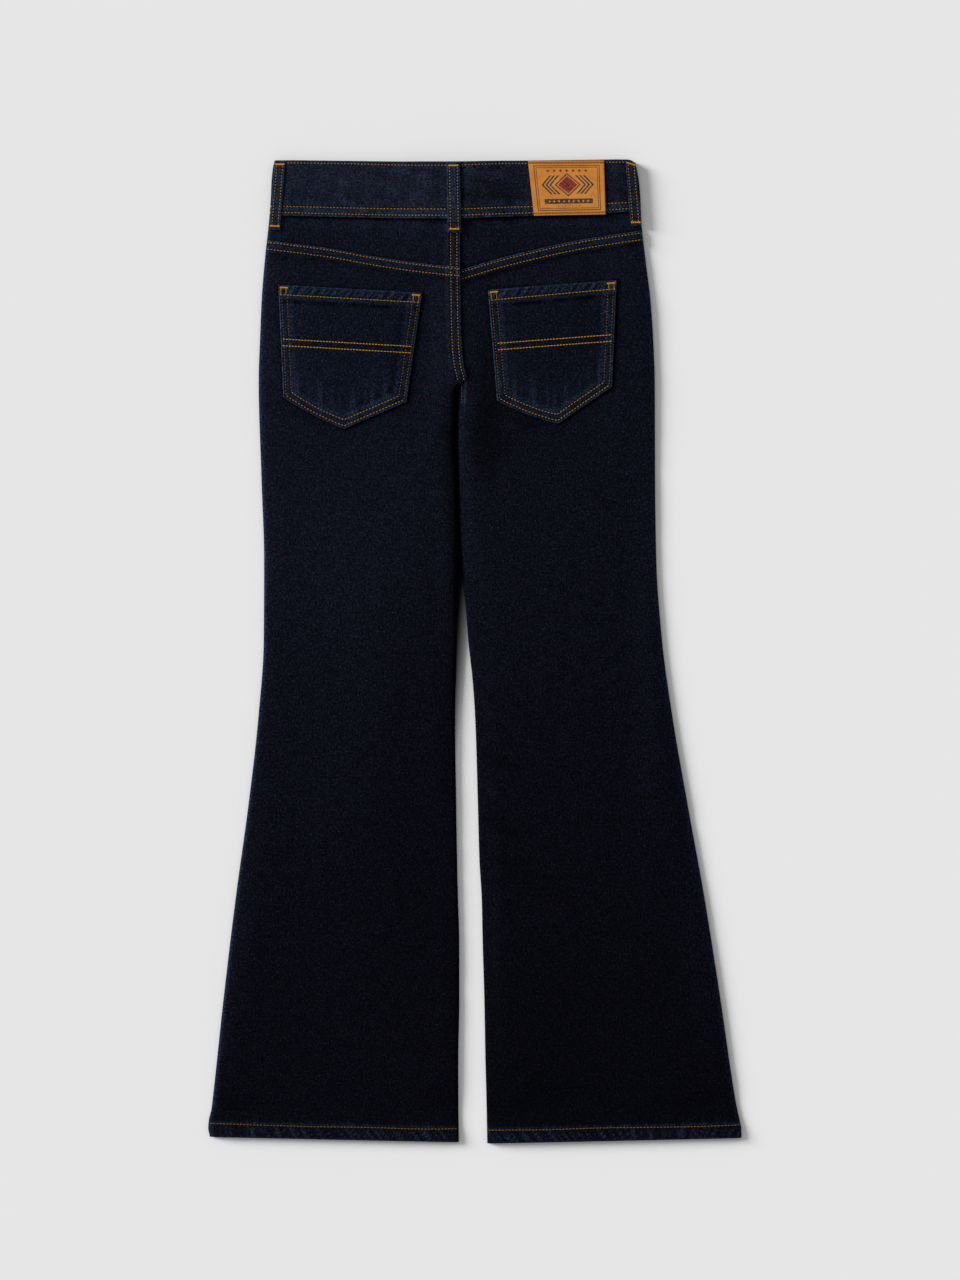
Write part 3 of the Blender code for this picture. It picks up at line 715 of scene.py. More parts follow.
def hem_waves(side, x, above_hem):
    """The hem's twist in wide and narrow ridges: upright at its outer side, slanting between."""
    lean = np.interp(x, [-210, -120, 90, 150, 205], [0.1, 0.8, 0.8, 0.2, -0.6])
    slant, seed = x + lean * above_hem, HEM_SEEDS[side]
    return wander(slant, 8.0, seed), wander(slant, 3.9, seed + 1.7)


def hem_row(side, x):
    """Height of the hem's stitching above the hem, with the unevenness of one guided by hand."""
    return HEM_DEPTH + 0.5 * wander(x, 130, 0.6 if side == "left" else 2.2)


def hem_relief(side, x, above_hem):
    """The turned-up hem: a thicker band, grooved at its row and roped in slanting ridges."""
    band = HEM_RAISED * (1.0 - slope(above_hem, (HEM_DEPTH - 1.0, 3.0)))
    wide, narrow = hem_waves(side, x, above_hem)
    roping = 0.20 * (wide + 0.6 * narrow) * bell(above_hem - HEM_MIDDLE, 5.5)
    row = 0.3 * bell(above_hem - hem_row(side, x), 0.9)
    return band + roping - row - edge_drop(above_hem)


def yoke_top(side, x, y):
    """Height of a yoke's outer face, puckered at its seams and rounded at the side fold."""
    height = back_face(side, x, y) + yoke_lift(side, x, y) + seat_relief(side, x, y)
    height += 0.12 * wander(x, 8.3, 4.4) * bell(band_low(x) - y - 3, 6)
    height += 0.10 * wander(x, 7.4, 5.2) * bell(y - seam_y(side, x) - 3, 6)
    return height - fold_drop(from_side(side, x, y), fall_to_front(height, x, y))


def band_face(x):
    """Height of the outer face of the waistband's back layer."""
    return BAND_FACE + (LUMP + STEP) * near_center(x)


def band_top_row(along):
    """Depth of the row under the top edge: it dips a little past the middle of the back."""
    return BAND_TOP_ROW + 1.0 * bell(along - 318, 45)


def band_tucks(along):
    """The uneven puckers along the waistband, from -1 to 1."""
    return wander(along, 9.7, 0.2)


def band_streaks(along, from_low):
    """Slow streaks that slant across the waistband, from -1 to 1."""
    return wander(along + 0.7 * from_low, 27, 2.9)


def band_relief(along, from_low, from_top):
    """Grooves of the waistband's rows, turned edges, puckers above the double row and streaks."""
    low = stitched(from_low, BAND_LOW_ROWS, along, 1.1, pucker=0.13) - edge_drop(from_low)
    top = stitched(from_top - band_top_row(along), (0.0,), along, 3.3, pucker=0.08)
    tucks = 0.15 * band_tucks(along) * bell(from_low - 12, 5)
    streaks = 0.08 * band_streaks(along, from_low) * ease(from_top / 8)
    return low + top + tucks + streaks - edge_drop(from_top)


def over_fold(face, radius, depth, above, tall=None):
    """Height above a face that rounds off at a fold, at a depth in from it, moved out by above.

    The fold is a quarter ellipse, as deep as its radius and as high as tall.
    """
    fall = np.clip(radius - depth, 0.0, 0.7 * radius)
    level = np.sqrt(radius**2 - fall**2) / radius
    return face - (tall or radius) * (1 - level) + above / level


def band_settle(depth):
    """How far the waistband's back has sunk at a depth in from a side fold."""
    return BAND_FALL * (1.0 - slope(depth, (0.5 * BAND_FACE, 14)))


def over_band(x, y, above):
    """Height above the waistband's back layer, rounded at the side folds."""
    depth = np.minimum(x - side_x("left", y), side_x("right", y) - x)
    face = band_face(x) - band_settle(depth)
    return over_fold(face, 0.5 * BAND_FACE, depth, above, tall=0.5 * (BAND_FACE - BAND_FALL))


def over_yoke_face(side, x, y, above):
    """Height above a yoke's outer face, rounded at its side fold."""
    depth = from_side(side, x, y)
    face = back_face(side, x, y) + yoke_lift(side, x, y) + fold_fall(depth)
    return over_fold(face, 1.85, depth, above)


# Building


def normals_of(points):
    """Unit normals of a grid: the cross product of its two directions."""
    normal = np.cross(np.gradient(points, axis=1), np.gradient(points, axis=0))
    return normal / np.maximum(np.linalg.norm(normal, axis=-1, keepdims=True), 1e-9)


def add_object(name, data):
    """An object at the origin that holds this data."""
    item = bpy.data.objects.new(name, data)
    bpy.context.scene.collection.objects.link(item)
    return item


def add_mesh(name, points, faces, finish, slot_name):
    """A piece from its points and faces, with its finish, body and slot."""
    mesh = bpy.data.meshes.new(name)
    mesh.from_pydata(points.reshape(-1, 3) * MM, [], faces)
    mesh.validate()
    mesh.shade_smooth()
    mesh.materials.append(finish)
    piece = add_object(name, mesh)
    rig.ride(piece, "root")
    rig.slot(piece, slot_name)
    return piece


def add_wall(piece, wall):
    """The wall of a sheet, inward from its outer face."""
    solidify = piece.modifiers.new("wall", "SOLIDIFY")
    solidify.thickness = wall * MM
    solidify.offset = -1.0
    return solidify


def paint(mesh, name, values):
    """A value at each point, which the finishes read by its name."""
    layer = mesh.attributes.new(name, "FLOAT", "POINT")
    layer.data.foreach_set("value", np.ascontiguousarray(values, np.float32).ravel())


def lay_cloth(mesh, cut):
    """The UV map 'cloth': where each point lies on the flat cloth, in metres."""
    corner = np.empty(len(mesh.loops), np.int32)
    mesh.loops.foreach_get("vertex_index", corner)
    layer = mesh.uv_layers.new(name="cloth")
    layer.data.foreach_set("uv", (cut * MM).reshape(-1, 2)[corner].astype(np.float32).ravel())


def cut_size(cut):
    """Width and length of the flat cloth that a grid of places covers, and its area, in metres."""
    size = (cut.max((0, 1)) - cut.min((0, 1))) * MM
    up, down = cut[1:, 1:] - cut[:-1, :-1], cut[:-1, 1:] - cut[1:, :-1]
    area = 0.5 * MM**2 * np.abs(up[..., 0] * down[..., 1] - up[..., 1] * down[..., 0]).sum()
    return tuple(size.tolist()), float(area)


def grid_faces(rows, columns):
    """Quads of a grid, each from a point to the next across, up and back."""
    first = np.arange(rows * columns).reshape(rows, columns)[:-1, :-1].ravel()
    return np.stack([first, first + 1, first + columns + 1, first + columns], 1)


def cloth(
    name, points, wall, finish, wear,
    side=None, cut=None, flip=False, thick=None, shade=1.0, both=0,
):
    """A sheet through a grid of points on its outer face, with its wall on the inner side.

    wear says how rubbed the points are, cut where they lie on the flat cloth, if not at their X
    and Y, thick the share of the wall at each, and shade the piece's own painted light and shade,
    as a share of the tone. The last 'both' columns have the outer finish on their inner side too.
    """
    rows, columns = points.shape[:2]
    faces = grid_faces(rows, columns)[:, :: -1 if flip else 1].tolist()
    slot_name = "denim" if finish is denim else "denim_trim"
    piece = add_mesh("cloth_" + name, points, faces, finish, slot_name)
    mesh = piece.data
    cut = points[..., :2] if cut is None else cut
    lay_cloth(mesh, cut)
    cuts[name] = cut_size(cut)
    x, y = points[..., 0], points[..., 1]
    # The tone painted on each point is painted light and shade, times the piece's own painted shade
    if side:
        tone = painted_shade_at(side, x, y)
    else:
        tone = np.where(x < CENTER_X, painted_shade_at("left", x, y), painted_shade_at("right", x, y))
    paint(mesh, "wear", np.clip(wear, 0.0, 1.0))
    paint(mesh, "tone", tone * shade)
    mesh.materials.append(inside_denim)
    mesh.materials.append(finish)
    finishes = np.zeros((rows - 1, columns - 1), np.int32)
    finishes[:, columns - 1 - both :] = 2
    mesh.polygons.foreach_set("material_index", finishes.ravel())
    solidify = add_wall(piece, wall)
    solidify.material_offset = 1
    if thick is not None:
        group = piece.vertex_groups.new(name="wall")
        shares = np.round(np.broadcast_to(thick, (rows, columns)).ravel(), 2)
        for share in np.unique(shares):
            group.add(np.flatnonzero(shares == share).tolist(), float(share), "REPLACE")
        solidify.vertex_group = group.name
    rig.replaces(piece, name)


def painted_shade_at(side, x, y):
    """Painted light and shade, as a share of the dye's tone: less down the legs and on the right leg, darker in
    hollows, black in the closed channel, and darker beside the left thigh's inner fold and under the left half's seat
    edge.
    """
    up = up_of(y)
    share = np.interp(up / LENGTH, TONE_HEIGHTS, PAINTED_FALLOFF[side])
    share = share * (1.0 + place_bells(PAINTED_LIGHT_AND_SHADE[side], x, y))
    closed = between(up, *CHANNEL_DARK)
    share = share * (1.0 - 0.96 * closed * bell(x - CHANNEL.read(side, up), 2.5))
    past = x - inner_x("left", y)
    if side == "left":
        deep = between(up, *THIGH_DARK)
        share = share * (1.0 - 0.74 * deep * np.exp(-from_inner(side, x, y) / 8.5))
        share = share * (1.0 - 0.97 * slope(past, (0.0, 0.7)))
    else:
        share = share * (1.0 - 0.6 * slope(up, (648, 6)) * crevice(past, 1.8))
    return np.clip(share, 0.04, 3.0)


def edge_columns():
    """Columns of a panel: share of the way to its inner edge, and inset from the nearer one.

    Near an edge a column keeps its inset, which on a fold goes by one minus the cosine of the
    turn round it. Between the edges it keeps its share.
    """
    folds = FOLD_WIDTH * (1 - np.cos(np.linspace(0, 0.5 * math.pi, 10)))
    insets = np.concatenate([folds, spread((FOLD_WIDTH, FALL_WIDTH, 1.3))[1:-1]])
    middle = np.linspace(0, 1, 92)
    edge = np.concatenate([0 * insets, middle, 1 + 0 * insets])
    inset = np.concatenate([insets, FALL_WIDTH + 0 * middle, insets[::-1]])
    return edge, inset


def panel_grid(side, columns, inner_of, y_of, start, rounds=3, tuck=0.0):
    """X and Y of a panel's points, placed across and along in turn until the two agree.

    tuck draws a row in from the side fold.
    """
    edge, inset = columns

    def across(y):
        """X of every point, by its inset from one edge or its share between both."""
        outer, inner = side_x(side, y), inner_of(side, y)
        inward = np.sign(inner - outer)
        return mix(outer + (inset + tuck) * inward, inner - inset * inward, edge)

    x = across(start)
    for _ in range(rounds):
        y = y_of(x)
        x = across(y)
    return x, y


def leg_wall(from_edge, above_hem):
    """Share of the hem's wall: all of it in the hem, the cloth's own above and in the folds."""
    in_hem = (1.0 - slope(above_hem, HEM_THINS)) * slope(from_edge, FOLD_THINS)
    return mix(WALL / HEM_WALL, 1.0, in_hem)


def seat_wear(depth):
    """How rubbed the seat's lapping edge is: a bell on its fold, and one between its rows."""
    return 0.7 * bell(depth, 0.7) + 0.10 * bell(depth - 5, 2.6)


def hem_wear(side, x, above_hem):
    """Rubbed ridges of the hem's roping, pale spots above its row, and its lower edge."""
    seed = HEM_SEEDS[side]
    wide, narrow = hem_waves(side, x, above_hem)
    ridges = 0.52 * np.clip(wide - 0.25, 0, 1) + 0.55 * np.clip(narrow - 0.3, 0, 1)
    ridges = ridges * (0.8 + 0.2 * wander(x, 61, seed + 0.8))
    spots = humps(x, 17, seed + 2.9) * humps(x, 6.1, seed)
    wear = (0.02 + ridges) * bell(above_hem - HEM_MIDDLE, 5.0) + 0.12 * bell(above_hem - 12.6, 0.8)
    return wear + 0.30 * spots * bell(above_hem - 13.0, 3.0) + 0.18 * bell(above_hem, 1.2)


def add_channel(side, x, y, z):
    """Four more columns past the inner fold, down to the bottom of the channel."""
    inward = 1.0 if side == "left" else -1.0
    share = np.array(CHANNEL_SHARES)[None, :]
    reach = channel_reach(side, y[:, -1:])
    fall = (z[:, -1:] - CHANNEL_FLOOR) * slope(reach, (0.2, 1.2))
    below = (
        x[:, -1:] + inward * reach * share,
        y[:, -1:] + 0 * share,
        z[:, -1:] - fall * np.sin(0.5 * math.pi * np.minimum(share / 0.55, 1.0)),
    )
    return (np.concatenate(pair, 1) for pair in zip((x, y, z), below))


def pocket_shadow(side, x, y):
    """How dark the leg is close under a pocket's edge: most on the side away from the light."""
    depth = pocket_depths(side, x, y)
    outside = -np.minimum(depth["around"], depth["top"])
    away = np.minimum(depth["right"], depth["low_right"]) <= -outside
    return np.where(away, 0.85, 0.5) * crevice(outside, np.where(away, 2.0, 1.5))


def build_back_leg(side):
    """A back panel from hem to yoke seam.

    Its points run from the outer fold to the inner edge, and from the hem to the yoke seam by
    their share of the way; the height of each is leg_top. Four last columns go down into the
    channel between the legs.
    """
    top = up_of(seam_y(side, INNER.read(side, 730)))
    heights = spread(
        (0, 1.2, 0.3), (1.2, 17, 0.95), (17, 60, 2.6), (60, 550, 4.3), (550, 630, 1.8),
        (630, 668, 1.3), (668, top - 15, 1.7), (top - 15, top - 9, 0.9),
        (top - 9, top - 1, 0.5), (top - 1, top, 0.2),
    )[:, None]
    x, y = panel_grid(
        side, edge_columns(), inner_x,
        lambda x: mix(hem_y(side, x), seam_y(side, x), heights / top), heights + LOW_Y,
    )
    x, y, z = add_channel(side, x, y, leg_top(side, x, y))
    up, above_hem, below = up_of(y), y - hem_y(side, x), seam_y(side, x) - y
    outer, inner = from_side(side, x, y), from_inner(side, x, y)
    wear = 0.75 * bell(below, 0.7) + 0.08 * bell(below - 4.4, 3.0) + 0.22 * bell(outer, 2.5)
    wear += hem_wear(side, x, above_hem)
    if side == "left":
        wear += seat_wear(seat_depth(x, y)) * slope(up, SEAT_WEAR_RISE)
    else:
        strip = bell(x + 8.6 - 0.05 * (y - 215), 0.8)
        wear += 0.34 * strip * between(up, *INNER_STRIP)
    cloth(
        "back_leg_" + side, np.stack([x, y, z], -1), HEM_WALL, denim, wear, side,
        flip=side == "right", thick=leg_wall(np.minimum(outer, inner), above_hem),
        shade=1.0 - pocket_shadow(side, x, y), both=len(CHANNEL_SHARES),
    )


def front_drawn_back(y):
    """1 along the channel, where the front's inner edge keeps clear of the back's cloth."""
    return between(up_of(y), CHANNEL_STARTS, CHANNEL_ENDS)


def front_inner(side, y):
    """X of the front's inner edge, which keeps clear of the back's cloth in the channel."""
    outward = -1.5 if side == "left" else 1.5
    return FRONT_INNER.read(side, up_of(y)) + outward * front_drawn_back(y)


def front_top(side, x, y):
    """Height of a front panel's outer face, which is its underside."""
    rise = fall_to_front(back_face(side, x, y), x, y)
    inner = fold_drop(np.abs(x - front_inner(side, y)), rise) * curl_share(y)
    inner = inner * (1.0 - 0.9 * front_drawn_back(y))
    return front_face(x, y) + fold_drop(from_side(side, x, y), rise) + inner


def build_front_leg(side):
    """A front panel, flat on the surface, that turns up at its folds to meet the back."""
    top = up_of(band_low(CENTER_X)) - GAP
    heights = spread(
        (0, 14, 1.2), (14, 60, 3.5), (60, 630, 7.5), (630, 668, 1.9), (668, top, 4)
    )[:, None]
    columns = np.stack(edge_columns())
    fine = 20  # columns kept at each edge; between them every third one is enough
    last = columns.shape[1] - fine
    columns = columns[:, np.r_[0:fine, fine:last:3, last : last + fine]]
    x, y = panel_grid(
        side, columns, front_inner,
        lambda x: mix(hem_y(side, x), band_low(x) - GAP, heights / top), heights + LOW_Y,
    )
    above_hem = y - hem_y(side, x)
    inner = np.abs(x - FRONT_INNER.read(side, up_of(y)))
    cloth(
        "front_leg_" + side, np.stack([x, y, front_top(side, x, y)], -1), HEM_WALL, denim,
        hem_wear(side, x, above_hem), side, flip=side == "left",
        thick=leg_wall(np.minimum(from_side(side, x, y), inner), above_hem),
    )


def build_yoke(side):
    """A yoke from under the back panel's edge to under the waistband.

    Its rows run from the hidden lower edge to the hidden upper one; the height of each point
    is yoke_top, and under both laps it is flat and stops short of the side fold.
    """
    share = np.concatenate([[-1.0, -0.5], np.linspace(0, 1, 34), [1.4, 2.0]])[:, None]
    hidden = ease(np.clip(np.maximum(-share, share - 1.0), 0, 1) / 0.3)
    laps = BAND_LAP * np.clip(share - 1, 0, 1) - YOKE_LAP * np.clip(-share, 0, 1)
    x, y = panel_grid(
        side, edge_columns(), inner_x,
        lambda x: mix(seam_y(side, x), band_low(x), np.clip(share, 0, 1)) + laps,
        760 + LOW_Y, rounds=4, tuck=TUCK * hidden,
    )
    flat = back_face(side, x, y) + yoke_lift(side, x, y) - 0.02
    z = mix(yoke_top(side, x, y), flat, hidden)
    beside, under_band = from_side(side, x, y), band_low(x) - y
    wear = (0.02 + 0.10 * humps(x, 23, 2.2)) * bell(under_band - 6, 4) + 0.25 * bell(beside, 2.5)
    if side == "left":
        wear += seat_wear(seat_depth(x, y))
    # Painted shadow under the waistband and above the yoke seam, and painted light beside the side fold
    shadow = 0.65 * crevice(under_band, 1.8) + 0.5 * crevice(y - seam_y(side, x))
    cloth(
        "yoke_" + side, np.stack([x, y, z], -1), WALL, denim, wear, side,
        flip=side == "right", shade=(1.0 + 0.15 * bell(beside - 7, 7)) * (1.0 - shadow),
    )


def band_surface(station, share):
    """Points of the waistband's outer face, without relief.

    station runs 0..1 over the front's over-lapping end to the left fold, 1..2 round that fold,
    2..3 along the back, 3..4 round the right fold and 4..5 along the under-lapping front.
    share runs from the lower edge to the upper.
    """
    radius, tall = 0.5 * BAND_FACE, 0.5 * (BAND_FACE - BAND_FALL)
    round_left, round_right = math.pi * (station - 1), math.pi * (station - 3)
    parts = [station <= 1, station <= 2, station <= 3, station <= 4, station <= 5.1]
    x = np.zeros(np.broadcast(station, share).shape)
    for _ in range(4):
        y = mix(band_low(x), band_top(x), share)
        left, right = side_x("left", y) + radius, side_x("right", y) - radius
        places = (
            mix(CENTER_X + LAP_HALF, left, station),
            left - radius * np.sin(round_left),
            mix(left, right, station - 2),
            right + radius * np.sin(round_right),
            mix(right, CENTER_X - LAP_HALF, station - 4),
        )
        x = np.select(parts, places)
    heights = (
        band_floor(x) + BUTTON_LIFT * near_center(x),
        tall * (1 - np.cos(round_left)),
        band_face(x) - band_settle(np.minimum(x - left, right - x) + radius),
        tall * (1 + np.cos(round_right)),
        band_floor(x) + END_LIFT * near_center(x),
    )
    return np.stack([x, y, np.select(parts, heights)], -1)


def band_length(station):
    """Length along the waistband at a station, for puckers and for the weave."""
    return np.interp(station, (0, 1, 2, 3, 4, 5), (0, 175, 186, 492, 503, 665))


def band_points(station, share):
    """The waistband's outer face with its relief, moved along the face's own normal."""
    base = band_surface(station, share)
    height = band_top(base[..., 0]) - band_low(base[..., 0])
    from_low, from_top = share * height, (1 - share) * height
    along = band_length(station) + 0 * share
    relief = band_relief(along, from_low, from_top)
    return base + normals_of(base) * relief[..., None], from_low, from_top, along


def build_waistband():
    """One band from its over-lapping end round both side folds to its under-lapping end."""
    station = spread((0, 1, 0.014), (1, 2, 0.1), (2, 3, 0.0075), (3, 4, 0.1), (4, 5, 0.014))
    share = spread((0, 0.02, 0.005), (0.02, 0.2, 0.0125), (0.2, 0.9, 0.035), (0.9, 1, 0.0125))
    points, from_low, from_top, along = band_points(*np.meshgrid(station, share))
    tucks = 0.5 + 0.5 * band_tucks(along)
    clouds = band_streaks(along, from_low) * wander(from_low - 0.25 * along, 19, 0.7)
    rubs = 0.16 + 0.20 * humps(along + 0.15 * from_low, 7.7, 1.9)
    wear = 0.55 * bell(from_low, 0.8) + 0.16 * bell(from_low - 5.2, 2.2)
    wear += 0.13 * bell(from_low - 12.5, 4.0) * tucks + 0.22 * bell(from_top, 1.5)
    wear += rubs * np.clip(clouds, 0, 1)
    # The clouds are the dye's own uneven tone; the darker band across the lower middle is painted shade
    shade = (1.0 + 0.22 * clouds) * (1.0 - 0.16 * bell(from_low - 15, 8))
    cut = np.stack([from_low, along], -1)
    cloth("waistband", points, BAND_WALL, band_denim, wear, cut=cut, shade=shade)


def pocket_lines(side):
    """A pocket's edges by name, each from its start to its end, with the pocket on its left."""
    corner = POCKETS[side]
    return {
        edge: (corner[start], corner[end])
        for edge, start, end in zip(RIM_EDGES, RIM, RIM[1:] + RIM[:1])
    }


def pocket_bow(share):
    """How far the lower left edge bends out at a share of its length."""
    share = np.clip(share, 0, 1)
    return POCKET_BOW * 4 * share * (1 - share)


def pocket_depths(side, x, y):
    """Distances in from each of a pocket's edges, from its sides, its low edges and both."""
    depth = {}
    for edge, (start, end) in pocket_lines(side).items():
        run = unit(end - start)
        depth[edge] = run[0] * (y - start[1]) - run[1] * (x - start[0])
    start, end = pocket_lines(side)["low_left"]
    run = end - start
    share = ((x - start[0]) * run[0] + (y - start[1]) * run[1]) / np.dot(run, run)
    depth["low_left"] = depth["low_left"] + pocket_bow(share)
    depth["sides"] = np.minimum(depth["left"], depth["right"])
    depth["low"] = np.minimum(depth["low_left"], depth["low_right"])
    depth["around"] = np.minimum(depth["sides"], depth["low"])
    return depth


def pocket_hem_row(side, x):
    """Depth of the hem's row below the pocket's top edge, from its left to its right."""
    left, right = POCKETS[side]["top_left"][0], POCKETS[side]["top_right"][0]
    return mix(*POCKET_HEM_ROWS[side], (x - left) / (right - left))


def hem_shade(side, x, below_top):
    """1 in the dents under a pocket's hem, where its turned-in cloth ends: they are dug in and carry painted shade."""
    blotches = np.clip(0.8 + 0.9 * wander(x, 26, 0.8 + POCKET_SEEDS[side]), 0.2, 1)
    return blotches * bell(below_top - pocket_hem_row(side, x) - 5.2, 1.5)


def pocket_ropes(side, x, below_top):
    """The twist of a pocket's hem, in ridges that slant."""
    return wander(x + 0.8 * below_top, 5.8, 1.3 + POCKET_SEEDS[side])


def pocket_top(side, x, y):
    """Height of a pocket: the panel's face moved out, a thicker hem, grooves and puckers."""
    depth, seed = pocket_depths(side, x, y), POCKET_SEEDS[side]
    below_top, around, low = depth["top"], depth["around"], depth["low"]
    along = np.where(low < depth["sides"], x, y)
    height = back_face(side, x, y) + leg_lift(side, x, y) + POCKET_GAP + WALL
    height += stitched(around, POCKET_ROWS, along, 0.7 + seed, pull=0.24)
    height += POCKET_HEM_RAISED * (1.0 - slope(below_top, (7.4, 2.2)))
    height -= 0.22 * bell(below_top - pocket_hem_row(side, x), 0.8)
    height += 0.26 * pocket_ropes(side, x, below_top) * bell(below_top - 3.6, 4)
    height += 0.25 * wander(x, 10.5, 3.1 + seed) * bell(low - 15, 8)
    height -= 0.30 * bell(around - 12.5, 3.0) + 0.24 * hem_shade(side, x, below_top)
    return height + 0.25 * ease(around / 25) - edge_drop(around) - edge_drop(below_top)


def build_pocket(side):
    """A patch pocket with a pointed lower edge.

    Its columns run from the left side to the right one and its rows from the top edge down to
    the two lower edges; the height of each point is pocket_top.
    """
    near = (0, 0.15, 0.4, 0.8, 1.3, 1.7, 2.1, 2.5, 3.0, 4.0, 5.2, 6.2, 6.9, 7.4, 7.9, 8.6, 9.6)
    across, down = (
        edged(near, spread((near[-1], size - near[-1], 1.5))[1:-1], size) for size in (115, 100)
    )
    down, across = np.meshgrid(down[::-1], across, indexing="ij")
    share, corner = across[..., None], POCKETS[side]
    top = mix(corner["top_left"], corner["top_right"], share)
    run = unit(corner["tip"] - corner["low_left"])
    bow = np.array([run[1], -run[0]]) * pocket_bow(2 * share)
    first = mix(corner["low_left"], corner["tip"], 2 * share) + bow
    second = mix(corner["tip"], corner["low_right"], 2 * share - 1)
    low = np.where(share <= 0.5, first, second)
    x, y = np.moveaxis(mix(top, low, down[..., None]), -1, 0)
    depth, seed = pocket_depths(side, x, y), POCKET_SEEDS[side]
    below_top, around = depth["top"], depth["around"]
    edge = np.where(depth["low_left"] < around + 1e-6, 0.36, 0.6)
    wear = edge * bell(around, 0.8) + 0.06 * bell(around - 4.6, 1.8)
    patchy = 0.55 + 0.45 * wander(x + 2.3 * y, 12, 4.1 + seed)
    patchy = patchy * np.where(depth["right"] < around + 1e-6, 0.17, 0.27)
    ridges = 0.45 + 0.55 * pocket_ropes(side, x, below_top)
    in_hem = bell(below_top - POCKET_HEM_MIDDLE, 3.8)
    wear += patchy * bell(around - 9.8, 2.0)
    wear += 0.50 * in_hem * np.clip(ridges, 0, 1) ** 1.5 + 0.3 * bell(below_top, 1)
    wear += 0.24 * humps(x, 9.3, 3.1 + seed) ** 1.5 * bell(depth["low"] - 15, 11)
    wear += 0.10 * bell(below_top - pocket_hem_row(side, x) - 2.2, 1.4)
    # Painted shade: dark dents under the hem, darker between the hem's ridges and along the groove inside the rows,
    # and a darker middle
    shade = 1.0 - 0.92 * hem_shade(side, x, below_top)
    shade = shade * (1.0 - 0.45 * in_hem * np.clip(1.0 - ridges, 0, 1))
    shade = shade * (1.0 - 0.14 * bell(around - 13, 3)) * (1.0 - 0.10 * slope(around, (14, 14)))
    points = np.stack([x, y, pocket_top(side, x, y)], -1)
    cloth("pocket_" + side, points, WALL, pocket_denim, wear, side, shade=shade)


def loop_point(name, across, share):
    """A point of a back belt loop: across its width and down its length, with its relief."""
    side, top_x, low_x, width = LOOPS[name]
    x = mix(top_x, low_x, share) + width * across
    top, low = band_top(x) - LOOP_END, band_low(x) - LOOP_BELOW
    y = mix(top, low, share)
    above = GAP + LOOP_WALL
    off_band = slope(band_low(x) - y, LOOP_STEP)
    z = mix(over_band(x, y, above), over_yoke_face(side, x, y, above), off_band)
    edge = np.minimum(across, 1 - across) * width
    end = np.minimum(share, 1 - share) * (top - low)
    z = z - 0.22 * bell(edge - LOOP_ROW * width, 0.75) - edge_drop(edge) - edge_drop(end)
    z = z + 0.10 * wander(y, 7.3, top_x) - 0.25 * bell(end - 2.4, 1.2)
    return np.stack([x, y, z], -1), edge, end


def build_back_loop(name):
    """A belt loop from the waistband's top edge down on to the yoke."""
    across = edged((0, 0.015, 0.04), np.linspace(0.08, 0.92, 15))
    share = edged((0, 0.004, 0.01), np.linspace(0.02, 0.98, 62))
    share, across = np.meshgrid(share[::-1], across, indexing="ij")
    points, edge, end = loop_point(name, across, share)
    wear = 0.6 * bell(edge, 0.8) + 0.32 * bell(edge - 5.6, 2.0) + 0.3 * bell(end, 1)
    wear *= 0.75 + 0.25 * wander(points[..., 1], 8, 1.0)
    cut = np.stack([across * LOOP_WIDTH, points[..., 1]], -1)
    cloth(name, points, LOOP_WALL, band_denim, wear, cut=cut)


def build_front_loop(name):
    """A belt loop on the front, flat on the surface under the waistband."""
    middle = FRONT_LOOPS[name]
    across = edged((0, 0.03), np.linspace(0.08, 0.92, 9))
    share, across = np.meshgrid(np.linspace(0, 1, 30), across, indexing="ij")
    x = middle + LOOP_WIDTH * (across - 0.5)
    y = mix(band_low(middle) - LOOP_BELOW, band_top(middle) - LOOP_END, share)
    edge = np.minimum(across, 1 - across) * LOOP_WIDTH
    z = 0.2 * bell(edge - LOOP_ROW * LOOP_WIDTH, 0.8) + 0.6 * edge_drop(edge)
    wear = 0.9 * bell(edge, 0.9) + 0.3 * bell(edge - 5.6, 2.0)
    cloth(name, np.stack([x, y, z], -1), LOOP_WALL, band_denim, wear, flip=True)


def patch_point(across, share):
    """A point of the patch: between its corners, above the waistband, with turned-down edges."""
    low, top = (mix(row[0], row[1], across[..., None]) for row in (PATCH_LOW, PATCH_TOP))
    x, y = np.moveaxis(mix(low, top, share[..., None]), -1, 0)
    edge = np.minimum(across, 1 - across) * PATCH_SIZE[0]
    end = np.minimum(share, 1 - share) * PATCH_SIZE[1]
    z = band_face(x) + GAP + PATCH_WALL - 0.16 * bell(end - PATCH_ROW, 0.8)
    z = z - 0.5 * (edge_drop(edge) + edge_drop(end))
    return np.stack([x, y, z + 0.16 * wander(x, 33, 1.0) * (1 - bell(end, 9))], -1)


def build_patch():
    """A stiff leather patch over the whole height of the waistband."""
    across, share = (
        edged((0, 0.15, 0.4, 0.8), np.linspace(first, size - first, count), size)
        for size, first, count in zip(PATCH_SIZE, (1.4, 1.2), (48, 46))
    )
    share, across = np.meshgrid(share, across, indexing="ij")
    faces = grid_faces(*share.shape).tolist()
    piece = add_mesh("leather_patch", patch_point(across, share), faces, leather, "leather_patch")
    lay_cloth(piece.data, (np.stack([across, share], -1) - 0.5) * PATCH_SIZE)
    add_wall(piece, PATCH_WALL)
    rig.replaces(piece, "patch")


